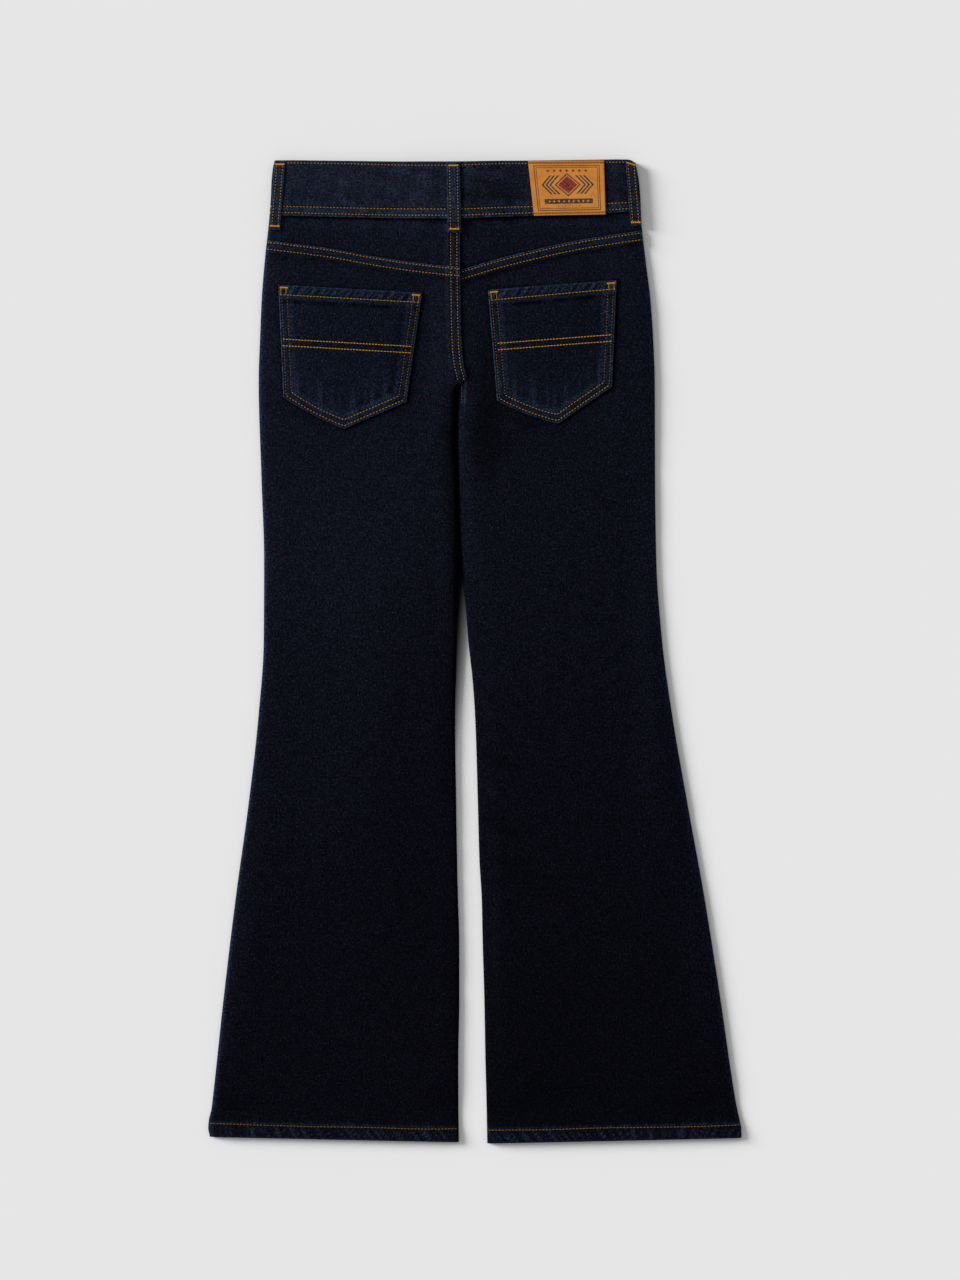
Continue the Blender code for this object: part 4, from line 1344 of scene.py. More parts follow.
def build_button():
    """A turned button: a profile of radius and height carried round its axis."""
    rim = BUTTON_RADIUS
    profile = np.array([
        (4.0, 1.9), (rim - 1.6, 1.88), (rim - 0.8, 1.75), (rim - 0.25, 1.4), (rim, 0.95),
        (rim - 0.12, 0.5), (rim - 0.45, 0.15), (rim - 0.95, 0.0), (rim - 1.5, 0.03),
        (rim - 1.9, 0.25), (rim - 2.3, 0.42), (rim - 3.4, 0.45), (rim - 3.7, 0.3),
        (rim - 4.0, 0.3), (rim - 4.3, 0.45), (2.0, 0.4), (1.2, 0.25),
    ])
    poles = [[0, 0, 1.9], [0, 0, 0.2]]
    turns = np.linspace(0, 2 * math.pi, 72, endpoint=False)
    r, z = profile[:, :1], profile[:, 1:]
    ring = np.stack([r * np.cos(turns), r * np.sin(turns), z + 0 * turns], -1).reshape(-1, 3)
    middle = np.array([CENTER_X, 0.5 * (band_low(CENTER_X) + band_top(CENTER_X)), 0.0])
    count, rings = len(turns), len(profile)
    k = np.arange(count)
    after = (k + 1) % count
    last, crown = (rings - 1) * count, rings * count
    faces = []
    for a in range(0, last, count):
        faces += np.stack([a + k, a + count + k, a + count + after, a + after], 1).tolist()
    faces += np.stack([crown + 0 * k, k, after], 1).tolist()
    faces += np.stack([crown + 1 + 0 * k, last + after, last + k], 1).tolist()
    points = np.concatenate([ring, poles]) + middle
    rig.replaces(add_mesh("turned_button", points, faces, copper, "button_metal"), "button")


# Stitching

DOWN = np.array([0.0, 0.0, -1.0])
BESIDE = np.array([-1.0, 0.0, 1.0])  # neighbours of a row, for its normals


def on_height(height, x, y):
    """Points on a face given by its height, and their normals from its slopes."""
    step = 0.25
    rise_x = (height(x + step, y) - height(x - step, y)) / (2 * step)
    rise_y = (height(x, y + step) - height(x, y - step)) / (2 * step)
    normal = unit(np.stack([-rise_x, -rise_y, np.ones_like(rise_x)], -1))
    return np.stack([x, y, height(x, y)], -1), normal


def stitch_row(points, normals, kind):
    """Stitches along a path: evenly spaced by its length, each a straight step between."""
    length, fill = kind
    at = np.concatenate([[0], np.cumsum(np.linalg.norm(np.diff(points, axis=0), axis=1))])
    count = max(int(round(at[-1] / length)), 1)
    starts = (np.arange(count) + 0.5 * (1 - fill)) * at[-1] / count
    ends = starts + fill * at[-1] / count

    def read(places, values):
        """Values at these lengths along the path."""
        return np.stack([np.interp(places, at, values[:, k]) for k in range(3)], -1)

    return read(starts, points), read(ends, points), read(0.5 * (starts + ends), normals)


def row_on(height, x, y, kind):
    """Stitches along a path on a face given by its height."""
    return stitch_row(*on_height(height, x, y), kind)


def middle_row(points, kind):
    """Stitches along the second of three rows of points on a face."""
    return stitch_row(points[1], normals_of(points)[1], kind)


def sew(name, stitches, finish, radius=THREAD_RADIUS, sink=0.12):
    """One mesh of many stitches: each a six-sided thread that dips into the cloth at its ends.

    Along a stitch t runs from -1 to 1; the thread's middle line rises by its radius times
    1.15 - 1.9 t to the fourth, less its sink, and its sides draw in towards both ends. Where
    the garment rests on the surface, the thread is pressed flat.
    """
    start, end, normal = (np.concatenate(part)[:, None, None, :] for part in zip(*stitches))
    half = 0.5 * (end - start)
    run = unit(half)
    side = unit(np.cross(run, normal))
    rise = np.cross(side, run)
    t = np.array([-1.0, -0.66, 0.0, 0.66, 1.0])[:, None, None]
    draw = radius * np.array([0.45, 0.92, 1.0, 0.92, 0.45])[:, None, None]
    angle = np.radians(np.arange(6) * 60.0)[:, None]
    lift = radius * (1.15 - 1.9 * t**4) - sink
    points = 0.5 * (start + end) + half * t + side * (draw * np.cos(angle))
    points = points + rise * (draw * 0.8 * np.sin(angle) + lift)
    points[..., 2] = np.maximum(points[..., 2], -PRESSED)
    k = np.arange(6)
    after = (k + 1) % 6
    quads = [np.stack([a + k, a + after, a + 6 + after, a + 6 + k], 1) for a in range(0, 24, 6)]
    caps = np.array([[5, 4, 3, 2], [5, 2, 1, 0], [24, 25, 26, 27], [24, 27, 28, 29]])
    shape = np.concatenate([*quads, caps])
    faces = (shape[None] + 30 * np.arange(len(start))[:, None, None]).reshape(-1, 4)
    add_mesh(name, points, faces[:, ::-1].tolist(), finish, "thread")


def bar_tack(point, normal, run, width, tall=1.7, threads=15):
    """A bar tack: short threads side by side along a bar, leaning one way and the other."""
    run = unit(np.asarray(run, float))
    lean = np.where(np.arange(threads) % 2 == 0, 0.16, -0.16)[:, None]
    middle = point + run * np.linspace(-0.5, 0.5, threads)[:, None] * width
    step = 0.5 * tall * (np.cross(normal, run) + run * lean)
    return middle - step, middle + step, np.repeat(normal[None], threads, 0)


def tack_on(height, spot, run, width, **more):
    """A bar tack at a spot of a face given by its height."""
    point, normal = on_height(height, spot[:1], spot[1:])
    return bar_tack(point[0], normal[0], np.array([*run, 0.0]), width, **more)


def seat_face(x, y):
    """The left half's face along the seat seam: its back panel's, then its yoke's."""
    return np.where(seam_y("left", x) > y, leg_top("left", x, y), yoke_top("left", x, y))


def sew_legs_and_yokes():
    """Double rows along the yoke and seat seams, one row round each hem, and one at the crotch."""
    for side in PAIR:
        face, y = partial(leg_top, side), seam_y(side, 0.0)
        inset = 1.0 if side == "left" else -1.0
        end = inner_x(side, y) if side == "left" else inner_x("left", y) + 0.8
        x = np.linspace(side_x(side, y) + 2.6 * inset, end, 120)
        rows = [row_on(face, x, seam_y(side, x) - depth, SEAM_STITCH) for depth in YOKE_ROWS[side]]
        sew("thread_yoke_seam_" + side, rows, thread)
        outer, inner = SIDES.read(side, HEM_DEPTH), INNER.read(side, HEM_DEPTH)
        x = np.linspace(outer + inset, inner - inset, 160)
        y = hem_y(side, x) + hem_row(side, x)
        points, normals = on_height(partial(front_top, side), x, y)
        under = stitch_row(points, -normals, HEM_STITCH)
        sew("thread_hem_" + side, [row_on(face, x, y, HEM_STITCH), under], hem_thread)
    up = np.linspace(648.5, up_of(band_low(CENTER_X)) - 9, 160)
    edge = INNER.read("left", np.maximum(up, 650))
    rows = [row_on(seat_face, edge - depth, up + LOW_Y, SIDE_STITCH) for depth in SEAT_ROWS]
    sew("thread_seat_seam", rows, thread)
    # Painted shade: the crotch row is sewn in the dimmer hem thread, as it lies in the channel's shade
    up = np.linspace(629, 644, 30)
    row = row_on(partial(leg_top, "right"), -11.2 + 0 * up, up + LOW_Y, SIDE_STITCH)
    sew("thread_crotch", [row], hem_thread, radius=0.8 * FINE_RADIUS)


def sew_waistband():
    """One row under the waistband's top edge and a double row above its lower edge."""
    station = spread((0.02, 1, 0.01), (1, 2, 0.1), (2, 3, 0.006), (3, 4, 0.1), (4, 4.98, 0.01))
    bare = band_surface(*np.meshgrid(station, np.array([0.0, 1.0])))
    height = bare[1, :, 1] - bare[0, :, 1]
    rows = []
    for from_low in (*BAND_LOW_ROWS, height - band_top_row(band_length(station))):
        across = from_low / height + 0.01 * BESIDE[:, None]
        points = band_points(station + 0 * across, across)[0]
        rows.append(middle_row(points, SEAM_STITCH))
    sew("thread_waistband", rows, thread)


def sew_pocket(side):
    """A pocket's double row round its sides and point, its hem's row and two rows across."""
    lines = list(pocket_lines(side).values())
    top_of = partial(pocket_top, side)

    def moved(line, depth):
        """A line's start and direction, moved into the pocket."""
        start, end = line
        run = unit(end - start)
        return start + np.array([-run[1], run[0]]) * depth, run

    def meet(first, second):
        """Where two moved lines cross."""
        (a, u), (b, v) = first, second
        return a + u * ((b - a)[0] * v[1] - (b - a)[1] * v[0]) / (u[0] * v[1] - u[1] * v[0])

    def below_top(line, corner, step):
        """Where a row starts or ends, a step from its pocket's top corner."""
        a, u = line
        return a + u * (np.dot(corner - a, u) + step)

    rows, side_rows = [], []
    for depth in POCKET_ROWS:
        rims = [moved(line, depth) for line in lines[:4]]
        spots = [below_top(rims[0], lines[0][0], 2.5)]
        spots += [meet(first, second) for first, second in zip(rims, rims[1:])]
        spots += [below_top(rims[3], lines[3][1], -2.5)]
        for k, (start, end) in enumerate(zip(spots, spots[1:])):
            t = np.linspace(0, 1, 40)
            path = mix(start, end, t[:, None])
            if k == 1:
                run = unit(end - start)
                path = path + np.array([run[1], -run[0]]) * pocket_bow(t)[:, None]
            if k in (0, 3):
                side_rows.append(row_on(top_of, *path.T, SIDE_STITCH))
            else:
                rows.append(row_on(top_of, *path.T, SEAM_STITCH))
    length = np.linalg.norm(lines[4][1] - lines[4][0])

    def across(drop, inset):
        """A path across the pocket, so far below its top edge and in from its corners."""
        start, run = moved(lines[4], drop)
        return start + run * np.linspace(inset, length - inset, 60)[:, None]

    path = across(0.0, 1.5)
    inward = moved(lines[4], 1.0)[0] - lines[4][0]
    path = path + inward * pocket_hem_row(side, path[:, 0])[:, None]
    rows.append(row_on(top_of, *path.T, HEM_STITCH))
    sew("thread_pocket_" + side, rows, thread)
    sew("thread_pocket_sides_" + side, side_rows, hem_thread, radius=FINE_RADIUS)
    rows = []
    for drop in POCKET_BAND_ROWS:
        path = across(drop, 4.5)
        path = path[pocket_depths(side, *path.T)["sides"] > 1.0]
        rows.append(row_on(top_of, *path.T, BOLD_STITCH))
    sew("thread_pocket_band_" + side, rows, bold_thread, radius=BOLD_RADIUS)


def sew_loops():
    """A row near each long edge of every loop, from one bar tack to the other."""
    rows = []
    for name in LOOPS:
        for row in (LOOP_ROW, 1 - LOOP_ROW):
            share, across = np.meshgrid(np.linspace(*LOOP_ROW_REACH, 60), row + 0.03 * BESIDE)
            rows.append(middle_row(loop_point(name, across, share)[0], SIDE_STITCH))
    for middle in FRONT_LOOPS.values():
        y = np.linspace(band_low(middle) - 6, band_top(middle) - 4, 30)
        for across in (LOOP_ROW - 0.5, 0.5 - LOOP_ROW):
            points = np.stack([middle + across * LOOP_WIDTH + 0 * y, y, 0.2 + 0 * y], -1)
            rows.append(stitch_row(points, np.tile(DOWN, (len(y), 1)), SIDE_STITCH))
    sew("thread_belt_loops", rows, thread)


def sew_patch():
    """One row along the patch's top edge and one along its lower edge."""
    rows = []
    low = PATCH_ROW / PATCH_SIZE[1]
    for row in (low, 1 - low):
        across, share = np.meshgrid(np.linspace(*PATCH_ROW_REACH, 60), row + 0.01 * BESIDE)
        rows.append(middle_row(patch_point(across, share), PATCH_STITCH))
    sew("thread_patch", rows, patch_thread)


def sew_tacks():
    """Bar tacks at both ends of every loop and across the top corners of the pockets.

    Under each of the latter the pocket's two rows are sewn over closely, down to its hem's row.
    """
    tacks, ends = [], []
    for name, (_, _, _, width) in LOOPS.items():
        for share in LOOP_TACKS:
            grid = np.meshgrid(share + 0.01 * BESIDE, 0.5 + 0.05 * BESIDE, indexing="ij")
            points = loop_point(name, grid[1], grid[0])[0]
            normal, run = -normals_of(points)[1, 1], points[1, 2] - points[1, 0]
            tacks.append(bar_tack(points[1, 1] - 0.1 * normal, normal, run, min(width - 1.4, 7.8)))
    for side in PAIR:
        corner, top_of = POCKETS[side], partial(pocket_top, side)
        head = unit(corner["top_right"] - corner["top_left"])
        down = np.array([head[1], -head[0]])
        for name, inward in (("top_left", head), ("top_right", -head)):
            spot = corner[name] + inward * 4.9 + down * 2.3
            tacks.append(tack_on(top_of, spot, head, 6.4, tall=1.5, threads=13))
            for row in POCKET_ROWS:
                spot = corner[name] + inward * row + down * 5.6
                ends.append(tack_on(top_of, spot, down, 4.6, tall=0.8, threads=7))
    for middle in FRONT_LOOPS.values():
        for y in (band_low(middle) - LOOP_BELOW + 2.6, band_top(middle) - 3.4):
            tacks.append(bar_tack(np.array([middle, y, 0.25]), DOWN, (1, 0, 0), 8))
    sew("thread_bar_tacks", tacks, tack_thread, sink=0.05)
    sew("thread_pocket_ends", ends, thread, radius=FINE_RADIUS, sink=0.08)


# Finishes


def operation(kind):
    """A method that makes one math node of this kind."""
    return lambda self, other: self.nodes.math(kind, self, other)


class Value:
    """A node's output, whose sums, products and the like are nodes too; | is the larger."""

    def __init__(self, nodes, socket):
        self.nodes, self.socket = nodes, socket

    __add__, __sub__ = operation("ADD"), operation("SUBTRACT")
    __mul__, __truediv__ = operation("MULTIPLY"), operation("DIVIDE")
    __or__ = operation("MAXIMUM")

    def __rsub__(self, other):
        return self.nodes.math("SUBTRACT", other, self)

    def __abs__(self):
        return self.nodes.math("ABSOLUTE", self)


class Nodes:
    """Adds nodes to a tree and links them, with values given by input name or place."""

    def __init__(self, tree):
        self.tree = tree

    def add(self, kind, inputs=None, **settings):
        """A new node with its settings and inputs."""
        node = self.tree.nodes.new("ShaderNode" + kind)
        for name, value in settings.items():
            setattr(node, name, value)
        self.put(node, inputs or {})
        return node

    def put(self, node, inputs):
        """Gives each input its value, or links it to another node's output."""
        for socket, value in inputs.items():
            target = node.inputs[socket]
            if isinstance(value, Value):
                self.tree.links.new(value.socket, target)
            elif target.type == "RGBA":
                target.default_value = (*value, 1)
            else:
                target.default_value = value

    def take(self, kind, output, inputs=None, **settings):
        """One output of a new node, as a value."""
        return Value(self, self.add(kind, inputs, **settings).outputs[output])

    def math(self, kind, first, second=0.0, clamp=False):
        """The result of a math node."""
        return self.take("Math", 0, {0: first, 1: second}, operation=kind, use_clamp=clamp)

    def noise(self, vector, scale, detail=2.0, rough=0.5):
        """Cloudy noise, mostly from 0.3 to 0.7."""
        inputs = {"Vector": vector, "Scale": scale, "Detail": detail, "Roughness": rough}
        return self.take("TexNoise", "Fac", inputs)

    def bands(self, vector, turn, direction, **inputs):
        """Soft parallel bands across a direction of a turned vector."""
        inputs = {name.replace("_", " "): value for name, value in inputs.items()}
        inputs["Vector"] = self.stretch(vector, (1, 1, 1), math.radians(turn))
        return self.take(
            "TexWave", "Fac", inputs,
            wave_type="BANDS", bands_direction=direction, wave_profile="SIN",
        )

    def stretch(self, vector, scale, turn=0.0):
        """A place scaled along each axis and turned about Z."""
        inputs = {"Vector": vector, "Rotation": (0, 0, turn), "Scale": scale}
        return self.take("Mapping", 0, inputs, vector_type="POINT")

    def remap(self, value, low, high, to_low=0.0, to_high=1.0, style="SMOOTHSTEP"):
        """A value carried from one range to another and kept within it."""
        inputs = {
            "Value": value, "From Min": low, "From Max": high, "To Min": to_low, "To Max": to_high
        }
        return self.take("MapRange", "Result", inputs, interpolation_type=style)

    def blend(self, share, first, second, style="MIX"):
        """The first colour mixed with the second by a share."""
        inputs = {0: share, 6: first, 7: second}
        return self.take("Mix", 2, inputs, data_type="RGBA", blend_type=style, clamp_factor=True)

    def split(self, vector):
        """X, Y and Z of a place."""
        node = self.add("SeparateXYZ", {0: vector})
        return (Value(self, socket) for socket in node.outputs)

    def relief(self, shader, height, distance, strength=1.0):
        """Bumps a shader's surface by a height, whose range stands for so many millimetres."""
        inputs = {"Height": height, "Distance": distance * MM, "Strength": strength}
        self.put(shader, {"Normal": self.take("Bump", 0, inputs)})


def new_material(name, mapped=False):
    """A material, its nodes and shader, and the place on the cloth or in space in millimetres."""
    material = bpy.data.materials.new(name)
    material.use_nodes = True
    nodes = Nodes(material.node_tree)
    if mapped:
        place = nodes.take("UVMap", 0, uv_map="cloth")
    else:
        place = nodes.take("TexCoord", "Object")
    place = nodes.take("VectorMath", 0, {0: place, 1: (1 / MM,) * 3}, operation="MULTIPLY")
    return material, nodes, material.node_tree.nodes["Principled BSDF"], place


def make_denim_weave():
    """Node group: the twill's colour, roughness and height from its place, wear and tone, the tone being painted light
    and shade.

    Slanting twill lines, long warp yarns of uneven dye, pale weft specks between them, slow
    mottling, and a bluer, paler colour where it is rubbed.
    """
    group = bpy.data.node_groups.new("denim_weave", "ShaderNodeTree")
    sockets = {
        "INPUT": "Place Vector, Wear Float, Tone Float, Dye Color, Worn Color, Speck Color",
        "OUTPUT": "Color Color, Roughness Float, Height Float",
    }
    for way, labels in sockets.items():
        for label, kind in (pair.split() for pair in labels.split(", ")):
            group.interface.new_socket(name=label, in_out=way, socket_type="NodeSocket" + kind)
    nodes = Nodes(group)
    taken, given = group.nodes.new("NodeGroupInput"), group.nodes.new("NodeGroupOutput")
    place, wear, tone, dye, worn, speck = (Value(nodes, socket) for socket in taken.outputs[:6])
    twill = nodes.bands(place, 28, "X", Scale=0.42, Distortion=1.3, Detail=1.5, Detail_Scale=1.6)
    grain = nodes.noise(place, 0.62, 2.0, 0.65)
    yarn = nodes.noise(nodes.stretch(place, (1.1, 0.16, 1)), 1.0, 2.0, 0.6)
    weft = nodes.noise(nodes.stretch(place, (0.85, 0.50, 1)), 1.0, 1.0, 0.5)
    mottle = nodes.noise(place, 0.10, 3.0, 0.6)
    hue = nodes.noise(nodes.stretch(place, (1.0, 0.8, 1)), 0.30, 2.0, 0.6)
    depth = nodes.remap(grain, 0.30, 0.70, 0.10, 2.05, "LINEAR")
    depth = depth * nodes.remap(yarn, 0.3, 0.7, 0.60, 1.42, "LINEAR")
    depth = depth * nodes.remap(mottle, 0.3, 0.7, 0.80, 1.20, "LINEAR")
    # Painted light and shade: the tone scales the weave's brightness, warms and darkens the dye where it is low, and
    # dims the specks
    depth = depth * nodes.remap(twill, 0, 1, 0.84, 1.16, "LINEAR") * tone
    deep = nodes.blend(1.0, dye, (1.02, 0.88, 0.80), "MULTIPLY")
    base = nodes.blend(nodes.remap(tone, 0.45, 1.0, 1.0, 0.0), dye, deep)
    warm = nodes.blend(1.0, base, (1.25, 0.92, 0.92), "MULTIPLY")
    cool = nodes.blend(1.0, base, (0.75, 1.08, 1.10), "MULTIPLY")
    dyed = nodes.blend(nodes.remap(hue, 0.38, 0.62), warm, cool)
    shade = nodes.take("CombineColor", 0, {0: depth, 1: depth, 2: depth})
    dyed = nodes.blend(1.0, dyed, shade, "MULTIPLY")
    strong = nodes.remap(weft, 0.60, 0.72) * nodes.remap(tone, 0.3, 1.1, 0.25, 1.0)
    rubbed = wear * nodes.remap(grain, 0.36, 0.66, 0.15, 1.9)
    rubbed = nodes.math("MULTIPLY", rubbed, nodes.remap(yarn, 0.25, 0.75, 0.6, 1.3), clamp=True)
    nodes.put(given, {
        "Color": nodes.blend(rubbed, nodes.blend(strong, dyed, speck), worn),
        "Roughness": nodes.remap(grain, 0.3, 0.7, 0.82, 0.95),
        "Height": twill * 0.5 + yarn * 0.6 + grain * 0.9,
    })
    return group


def make_denim(name, dye, worn, speck):
    """A denim: the weave group on the cloth's own map, with a dry sheen and almost no gloss."""
    material, nodes, shader, place = new_material(name, mapped=True)
    inputs = {"Place": place, "Dye": dye, "Worn": worn, "Speck": speck}
    for label in ("Wear", "Tone"):
        inputs[label] = nodes.take("Attribute", "Fac", attribute_name=label.lower())
    weave = nodes.add("Group", inputs, node_tree=denim_weave)
    color, rough, height = (Value(nodes, socket) for socket in weave.outputs)
    nodes.put(shader, {
        "Base Color": color, "Roughness": rough, "Specular IOR Level": 0.01,
        "Sheen Weight": 0.006, "Sheen Roughness": 0.5, "Sheen Tint": (0.5, 0.65, 1.0),
    })
    nodes.relief(shader, height, 0.16)
    return material


def make_thread(name, color, dark):
    """Twisted thread: fine slanting strands, darker between, with a soft sheen."""
    material, nodes, shader, place = new_material(name)
    strand = nodes.bands(place, 40, "DIAGONAL", Scale=1.1, Distortion=0.8)
    patchy = nodes.noise(place, 0.22, 2.0, 0.6)
    bright = nodes.remap(patchy, 0.3, 0.7, 0.6, 1.0)
    share = nodes.math("MULTIPLY", nodes.remap(strand, 0.1, 0.9, 0.55, 1.0), bright, clamp=True)
    nodes.put(shader, {
        "Base Color": nodes.blend(share, dark, color), "Specular IOR Level": 0.08,
        "Roughness": nodes.remap(patchy, 0.3, 0.7, 0.55, 0.75), "Sheen Weight": 0.01,
    })
    nodes.relief(shader, strand, 0.12)
    return material


def make_leather():
    """Tan leather board with a pressed and printed generic ornament.

    Lines are bands where the distance to a rectangle is near a value; lozenges are where the
    sum of the shares across and up is under one.
    """
    material, nodes, shader, place = new_material("patch_leather", mapped=True)
    x, y, _ = nodes.split(place)
    far_y = 0.5 * PATCH_SIZE[1] - abs(y)
    inset = nodes.math("MINIMUM", 0.5 * PATCH_SIZE[0] - abs(x), far_y)

    def line(value, at, half, soft=0.12):
        """1 within half a line's width of a value, with soft edges."""
        return nodes.remap(abs(value - at), half, half + soft, 1.0, 0.0)

    def inside(value, half, soft=0.12):
        """1 where the value is under half, with a soft edge."""
        return nodes.remap(value, half - soft, half + soft, 1.0, 0.0)

    def row_of(pitch, at_y, wide, tall, reach):
        """Lozenges in a row."""
        cell = nodes.math("FLOORED_MODULO", x + 0.5 * pitch, pitch) - 0.5 * pitch
        shape = inside(abs(cell) / wide + abs(y - at_y) / tall, 1.0, 0.06)
        return shape * inside(abs(x), reach)

    border = line(inset, 4.3, 0.30) | line(inset, 5.9, 0.18)
    rise = abs(y - 2.6)
    middle = abs(x) / 11.0 + rise / 10.0
    hollow = inside(middle, 0.26, 0.03)
    red = (inside(middle, 0.74, 0.03) - hollow) | row_of(5.2, 14.6, 1.4, 1.3, 18.0)
    pointed = abs(x) + rise * 0.9
    chevrons = line(pointed, 14.6, 0.75) | line(pointed, 17.8, 0.75) | line(pointed, 21.0, 0.75)
    bar = inside(abs(y + 11.4), 2.1) * inside(abs(x), 20.5)
    dark = line(middle, 0.93, 0.05, 0.03) | hollow | chevrons * inside(rise, 8.0) | bar
    dark = dark * (1.0 - row_of(4.1, -11.4, 1.0, 1.1, 18.5)) | row_of(3.0, -15.4, 0.55, 0.55, 10.0)
    grain, clouds = nodes.noise(place, 0.9, 3.0, 0.65), nodes.noise(place, 0.09, 3.0, 0.6)
    rub = nodes.remap(nodes.noise(place, 0.5, 3.0, 0.7), 0.3, 0.55, 0.65, 1.0)
    color = nodes.blend(nodes.remap(clouds, 0.3, 0.7), (0.49, 0.182, 0.030), (0.59, 0.236, 0.046))
    for share, paint_color in (
        (nodes.remap(grain, 0.35, 0.7, 0.0, 0.35), (0.34, 0.125, 0.022)),
        (nodes.remap(inset, 0.0, 1.1, 1.0, 0.0) * 0.5, (0.24, 0.085, 0.015)),
        (red * rub, (0.20, 0.014, 0.016)),
        (dark * rub, (0.020, 0.024, 0.034)),
        (border * 0.9, (0.060, 0.034, 0.026)),
        (line(far_y, PATCH_ROW, 0.5, 0.5) * 0.8, (0.16, 0.052, 0.010)),
    ):
        color = nodes.blend(share, color, paint_color)
    rough = nodes.remap(grain, 0.3, 0.7, 0.55, 0.75)
    nodes.put(shader, {"Base Color": color, "Roughness": rough, "Specular IOR Level": 0.12})
    nodes.relief(shader, grain * 0.5 - (border | dark * 0.6), 0.1)
    return material


def make_copper():
    """Antique copper: brushed rings, in cloudy lighter and darker patches."""
    material, nodes, shader, place = new_material("antique_copper")
    scratch = nodes.noise(nodes.stretch(place, (2.5, 0.5, 2.5)), 1.0, 3.0, 0.7)
    cloud = nodes.remap(nodes.noise(place, 0.26, 3.0, 0.6), 0.3, 0.7)
    nodes.put(shader, {
        "Base Color": nodes.blend(cloud, (0.30, 0.13, 0.055), (0.52, 0.26, 0.12)),
        "Metallic": 1.0, "Roughness": nodes.remap(scratch, 0.3, 0.7, 0.25, 0.5),
    })
    nodes.relief(shader, scratch, 0.03, 0.6)
    return material


denim_weave = make_denim_weave()
denim = make_denim("denim", (0.0041, 0.0048, 0.0095), (0.034, 0.056, 0.112), (0.0145, 0.021, 0.040))
band_denim = make_denim(
    "waistband_denim", (0.0062, 0.0076, 0.0140), (0.036, 0.060, 0.118), (0.022, 0.030, 0.054)
)
pocket_denim = make_denim(
    "pocket_denim", (0.0044, 0.0057, 0.0117), (0.036, 0.060, 0.118), (0.017, 0.027, 0.054)
)
inside_denim = make_denim(
    "denim_inside", (0.045, 0.055, 0.085), (0.12, 0.14, 0.19), (0.16, 0.18, 0.22)
)
thread = make_thread("topstitch_thread", (0.58, 0.31, 0.016), (0.19, 0.095, 0.006))
hem_thread = make_thread("hem_thread", (0.27, 0.135, 0.012), (0.11, 0.052, 0.005))
bold_thread = make_thread("bold_thread", (0.74, 0.385, 0.012), (0.36, 0.180, 0.006))
tack_thread = make_thread("bar_tack_thread", (0.80, 0.36, 0.012), (0.45, 0.17, 0.010))
patch_thread = make_thread("patch_thread", (0.50, 0.175, 0.010), (0.24, 0.075, 0.006))
leather = make_leather()
copper = make_copper()

# Assembly

cuts = {}
for side in PAIR:
    build_back_leg(side)
    build_front_leg(side)
    build_yoke(side)
    build_pocket(side)
    sew_pocket(side)
build_waistband()
for name in LOOPS:
    build_back_loop(name)
for name in FRONT_LOOPS:
    build_front_loop(name)
build_patch()
build_button()
sew_legs_and_yokes()
sew_waistband()
sew_loops()
sew_patch()
sew_tacks()

# What each piece of cloth lies on, and the separate pieces that are on it
LAID = {
    "front_leg_left": ("floor", ""),
    "front_leg_right": ("floor", ""),
    "back_leg_left": (
        "cloth_front_leg_left cloth_yoke_left cloth_back_leg_right",
        "thread_hem_left thread_yoke_seam_left thread_seat_seam",
    ),
    "back_leg_right": (
        "cloth_front_leg_right cloth_yoke_right",
        "thread_hem_right thread_yoke_seam_right thread_crotch",
    ),
    "yoke_left": ("cloth_front_leg_left cloth_yoke_right", ""),
    "yoke_right": ("cloth_front_leg_right", ""),
    "pocket_left": (
        "cloth_back_leg_left",
        "thread_pocket_left thread_pocket_sides_left thread_pocket_band_left thread_pocket_ends",
    ),
    "pocket_right": (
        "cloth_back_leg_right",
        "thread_pocket_right thread_pocket_sides_right thread_pocket_band_right",
    ),
    "waistband": (
        "floor", "thread_waistband leather_patch thread_patch turned_button thread_bar_tacks"
    ),
    "belt_loop_side_left": ("cloth_waistband cloth_yoke_left", "thread_belt_loops"),
    "belt_loop_back": ("cloth_waistband cloth_yoke_left", ""),
    "belt_loop_side_right": ("cloth_waistband cloth_yoke_right", ""),
    "belt_loop_front_left": ("floor", ""),
    "belt_loop_front_right": ("floor", ""),
}


def declare_sheets():
    """Every piece of cloth is a sheet laid flat, with the size of the cut that shows."""
    for name, (rests_on, pieces) in LAID.items():
        flat, area = cuts[name]
        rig.sheet(
            bpy.data.objects["cloth_" + name], flat=flat, held="laid",
            rests_on=rests_on.split(), with_pieces=pieces.split(), area=area,
        )


# Floor, light and camera

PIXEL = 0.85 * MM  # one pixel of the frame, at the height of the cloth
FRAME_HEIGHT = 1280
VIEW_CENTER = (4.3 * MM, 9.7 * MM)
CAMERA_HEIGHT = 3.2
FLOOR_HALF = 4.0
FLOOR_LOW = 0.1  # how far the floor lies under the cloth
CLEAR_WITHIN = 4.0
# The floor's painted shadow in the gap between the legs: its lean, the X where it is dark and pale, and where it stops
GAP_LEAN = 0.116  # X by which the gap between the legs moves over as Y grows
GAP_SHADE = (-18.5, -4.8)
GAP_BESIDE = -30
GAP_TOP = 200
WORLD_STRENGTH = 0.42
SUN_STRENGTH = 5.12
SUN_SPREAD, SUN_UP, SUN_TURN = (math.radians(degrees) for degrees in (24, 20, 160))


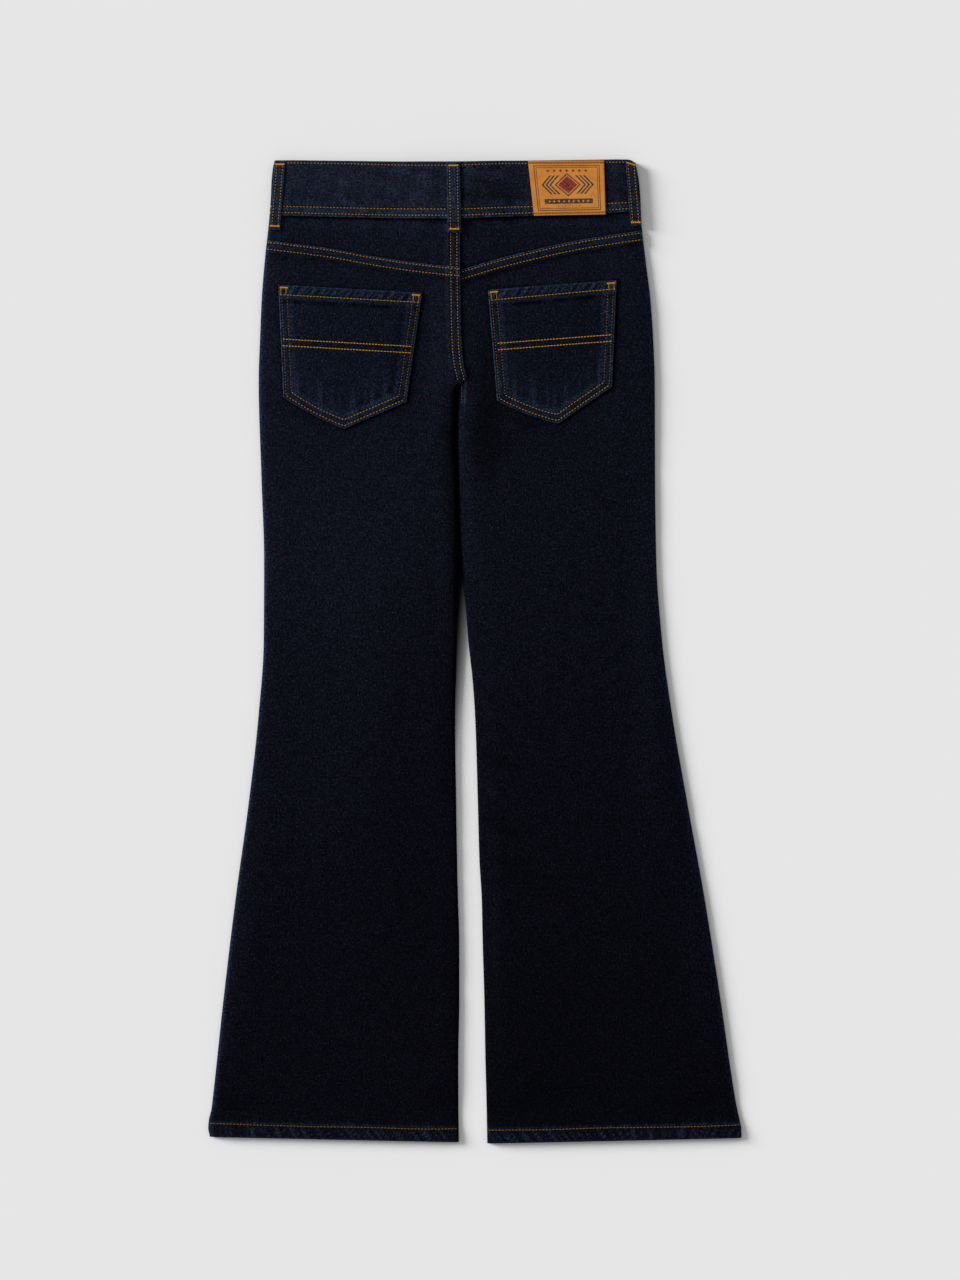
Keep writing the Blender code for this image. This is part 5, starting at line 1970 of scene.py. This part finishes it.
def make_floor():
    """A wide pale floor that is clear from below, and to light within 4 mm of its top.

    A painted shadow deepens it to black where the legs close on each other, in the gap between them.
    """
    corners = ((-1, -1), (1, -1), (1, 1), (-1, 1))
    points = [(x * FLOOR_HALF, y * FLOOR_HALF, -FLOOR_LOW * MM) for x, y in corners]
    mesh = bpy.data.meshes.new("floor")
    mesh.from_pydata(points, [], [(0, 1, 2, 3)])
    material, nodes, shader, place = new_material("floor_paper")
    x, y, _ = nodes.split(place)
    # Painted shadow in the gap between the legs, darkest next to the left leg
    lit = nodes.remap(x - y * GAP_LEAN, *GAP_SHADE, 0.08, 1.0, "LINEAR")
    beside, beyond = nodes.math("LESS_THAN", x, GAP_BESIDE), nodes.math("GREATER_THAN", y, GAP_TOP)
    pale = nodes.blend(nodes.noise(place, 0.9, 2.0, 0.5), (0.80, 0.80, 0.80), (0.82, 0.82, 0.82))
    pale = nodes.blend(lit * lit | beside | beyond, (0.0, 0.0, 0.0), pale)
    nodes.put(shader, {"Base Color": pale, "Roughness": 1.0, "Specular IOR Level": 0.0})
    near = nodes.math("LESS_THAN", nodes.take("LightPath", "Ray Length"), CLEAR_WITHIN * MM)
    behind = nodes.take("NewGeometry", "Backfacing") | near
    clear = nodes.take("BsdfTransparent", 0)
    both = nodes.take("MixShader", 0, {0: behind, 1: Value(nodes, shader.outputs[0]), 2: clear})
    nodes.put(material.node_tree.nodes["Material Output"], {"Surface": both})
    mesh.materials.append(material)
    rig.stage(add_object("floor", mesh))


def make_light():
    """Even light from all round, and a broad soft light from the upper left."""
    world = bpy.data.worlds.new("studio")
    world.use_nodes = True
    background = world.node_tree.nodes["Background"]
    Nodes(world.node_tree).put(background, {"Color": (1, 1, 1), "Strength": WORLD_STRENGTH})
    bpy.context.scene.world = world
    sun = bpy.data.lights.new("soft_light", "SUN")
    sun.energy = SUN_STRENGTH
    sun.angle = SUN_SPREAD
    level = math.cos(SUN_UP)
    towards = Vector((level * math.cos(SUN_TURN), level * math.sin(SUN_TURN), math.sin(SUN_UP)))
    add_object("soft_light", sun).rotation_euler = towards.to_track_quat("Z", "Y").to_euler()


def make_camera():
    """A long lens straight above, with the waist at the top of the frame."""
    camera = bpy.data.cameras.new("camera")
    camera.lens = camera.sensor_width * (CAMERA_HEIGHT - FACE * MM) / (FRAME_HEIGHT * PIXEL)
    holder = add_object("camera", camera)
    holder.location = (*VIEW_CENTER, CAMERA_HEIGHT)
    bpy.context.scene.camera = holder


make_floor()
make_light()
make_camera()
declare_sheets()
bpy.context.scene.view_settings.view_transform = "Standard"

with open("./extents.json", "w") as file:
    boxes = {"cad": cad_box, "visual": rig.bounds()}
    json.dump({name: [list(corner) for corner in box] for name, box in boxes.items()}, file)
